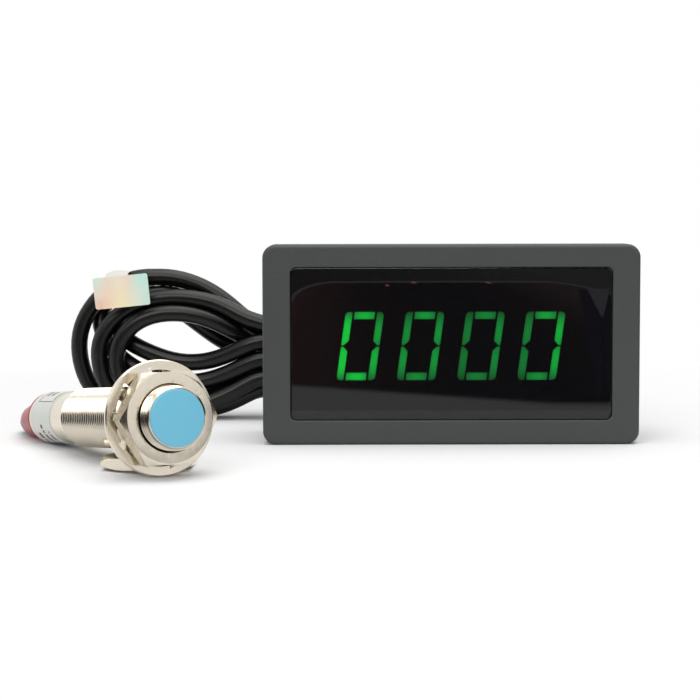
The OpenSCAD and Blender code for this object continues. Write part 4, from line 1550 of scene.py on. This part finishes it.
    def washer(self) -> Piece:
        """Makes the lock washer: a flat ring whose inner teeth are each twisted out of it."""
        outer, inner, thick = self.washer_diameter / 2, self.washer_inner, self.washer_thickness
        rings = [(inner, 0.1), (inner + 0.1, 0), (outer - 0.2, 0), (outer, 0.2), (outer, thick - 0.2)]
        rings += [(outer - 0.2, thick), (inner + 0.1, thick), (inner, thick - 0.1), (inner, 0.1)]
        ring = turned("lock_washer_ring", rings, 120)
        half = thick / 2
        low, high = self.tooth_run
        tooth = block("tooth", (low, -self.tooth_half, -half), (high, self.tooth_half, half))
        with editing(tooth):
            bpy.ops.mesh.select_all(action="SELECT")
            bpy.ops.mesh.subdivide(number_cuts=7)
        for point in tooth.data.vertices:
            share = min(1.0, max(0.0, (self.twist_start - point.co.x) / self.twist_run))
            angle = math.radians(self.tooth_twist) * share
            (y, z), sin, cos = point.co.yz, math.sin(angle), math.cos(angle)
            point.co.y, point.co.z = y * cos - z * sin, y * sin + z * cos
        combine(tooth, rod("clear", self.crest, -5, 5, 64))
        soften(tooth, 0.15, 2, 40)
        pieces = [ring]
        for i in range(self.tooth_count):
            pieces.append(copied(tooth, shift(0, 0, half) @ turn(i * 360 / self.tooth_count, "Z")))
        bpy.data.objects.remove(tooth)
        place = self.place @ shift(0, 0, -self.washer_back)
        return self.nickel(join("tooth_lock_washer", pieces), "lock_washer", place)

    def label(self) -> list[Piece]:
        """Makes the label round the barrel's rear, and its plain printed bars."""
        radius, (top, foot) = self.rear_diameter / 2, self.film
        outer = radius + self.film_thickness
        rings = [(radius, top), (outer, top - 0.02), (outer, foot + 0.02), (radius, foot), (radius, top)]
        film = turned("label_film", rings)
        bars = [self.printed_bar(*bar) for bar in self.print_bars]
        return [
            finish_piece(film, LABEL_FILM, ["sensor_label"], self.place),
            finish_piece(join("label_bars", bars), LABEL_INK, place=self.place),
        ]

    def printed_bar(self, start: float, end: float, low: float, high: float) -> Piece:
        """One printed bar on the label: from one angle to another, and from one height to another."""
        steps = max(2, int(abs(end - start) / 4))
        bar = grid("bar", steps, 1)
        radius = self.rear_diameter / 2 + 0.125
        for point in bar.data.vertices:
            angle = math.radians(start + (end - start) * (point.co.x + 0.5))
            height = low + (high - low) * (point.co.y + 0.5)
            point.co = Vector((radius * math.cos(angle), radius * math.sin(angle), height))
        with editing(bar):
            face_outwards()
        apply_modifier(bar, "SOLIDIFY", thickness=0.03, offset=0.0)
        return bar

    def boot(self) -> Piece:
        """Makes the clear red boot, tapered onto the cable."""
        boot = turned("tail_boot_red", self.boot_profile)
        soften(boot, 0.1, 2, 40)
        return finish_piece(boot, RED_RESIN, ["tail_boot"], self.boot_place, 50)

    def build(self) -> list[Piece]:
        """Makes the sensor and the loose nut.

        Returns:
            The pieces.
        """
        nut_place = self.place @ shift(0, 0, -self.nut_back)
        lift = self.across_flats / 2 * math.sin(math.radians(self.loose_lean))
        rest = shift(*self.loose_slip, lift) @ turn(-self.loose_lean, "X")
        loose = shift(*self.loose_place) @ turn(self.yaw, "Z") @ rest
        pieces = [self.barrel(), self.cap(), self.washer(), self.boot(), *self.label()]
        on_thread = self.nut("nut_on_thread", self.nut_thickness, self.nut_bore)
        pieces.append(self.nickel(on_thread, "front_nut", nut_place, 25))
        on_floor = self.nut("nut_on_floor", self.loose_thickness, self.loose_bore)
        pieces.append(self.nickel(on_floor, "loose_nut", loose, 25))
        return pieces


# Pieces that stay as they were packed, with their finish


NODE_FINISHES: dict[Finish, Sequence[str]] = {
    DISPLAY_FACE: ("display_body",),
    UNLIT_EPOXY: ("unlit_segments",),
    SOLDER_MASK: ("display_board", "power_board", "sensor_board"),
    CHIP_EPOXY: (
        "controller_chip", "display_driver", "chip_resistors", "board_header", "regulator", "hall_element",
    ),
    TIN: ("display_pins", "crystal"),
    CAP_SLEEVE: ("capacitors",),
    ZINC: ("board_screws", "terminal_screws"),
    TERMINAL_GREEN: ("terminal_block",),
    CLAMP_METAL: ("terminal_clamps",),
    SPARKED_ABS: ("rear_cover",),
    LED_RED: ("indicator_led",),
    POTTING: ("sensor_potting",),
    CORE_BROWN: ("core_brown",),
    CORE_BLACK: ("core_black",),
    CORE_BLUE: ("core_blue",),
    TIE_SLEEVE: ("hank_tie",),
}


def dress_nodes(nodes: dict[str, Piece]) -> None:
    """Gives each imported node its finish.

    Args:
        nodes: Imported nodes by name.
    """
    for finish, names in NODE_FINISHES.items():
        for name in names:
            mesh = nodes[name].data
            mesh.materials.clear()
            mesh.materials.append(material_of(finish))


def main() -> None:
    """Builds the studio and the tachometer, in order."""
    logging.basicConfig(level=logging.INFO, format="%(name)s: %(message)s")
    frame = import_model()
    studio = Studio()
    studio.camera()
    sensor = Sensor()
    cable = Cable().build(*sensor.boot_exit())
    Sticker().build()
    studio.build()
    dress_nodes(frame["nodes"])
    MeterCase().build()
    Window().build()
    DisplayModule().build()
    sensor.build()
    bpy.context.view_layer.update()


if __name__ == "__main__":
    main()
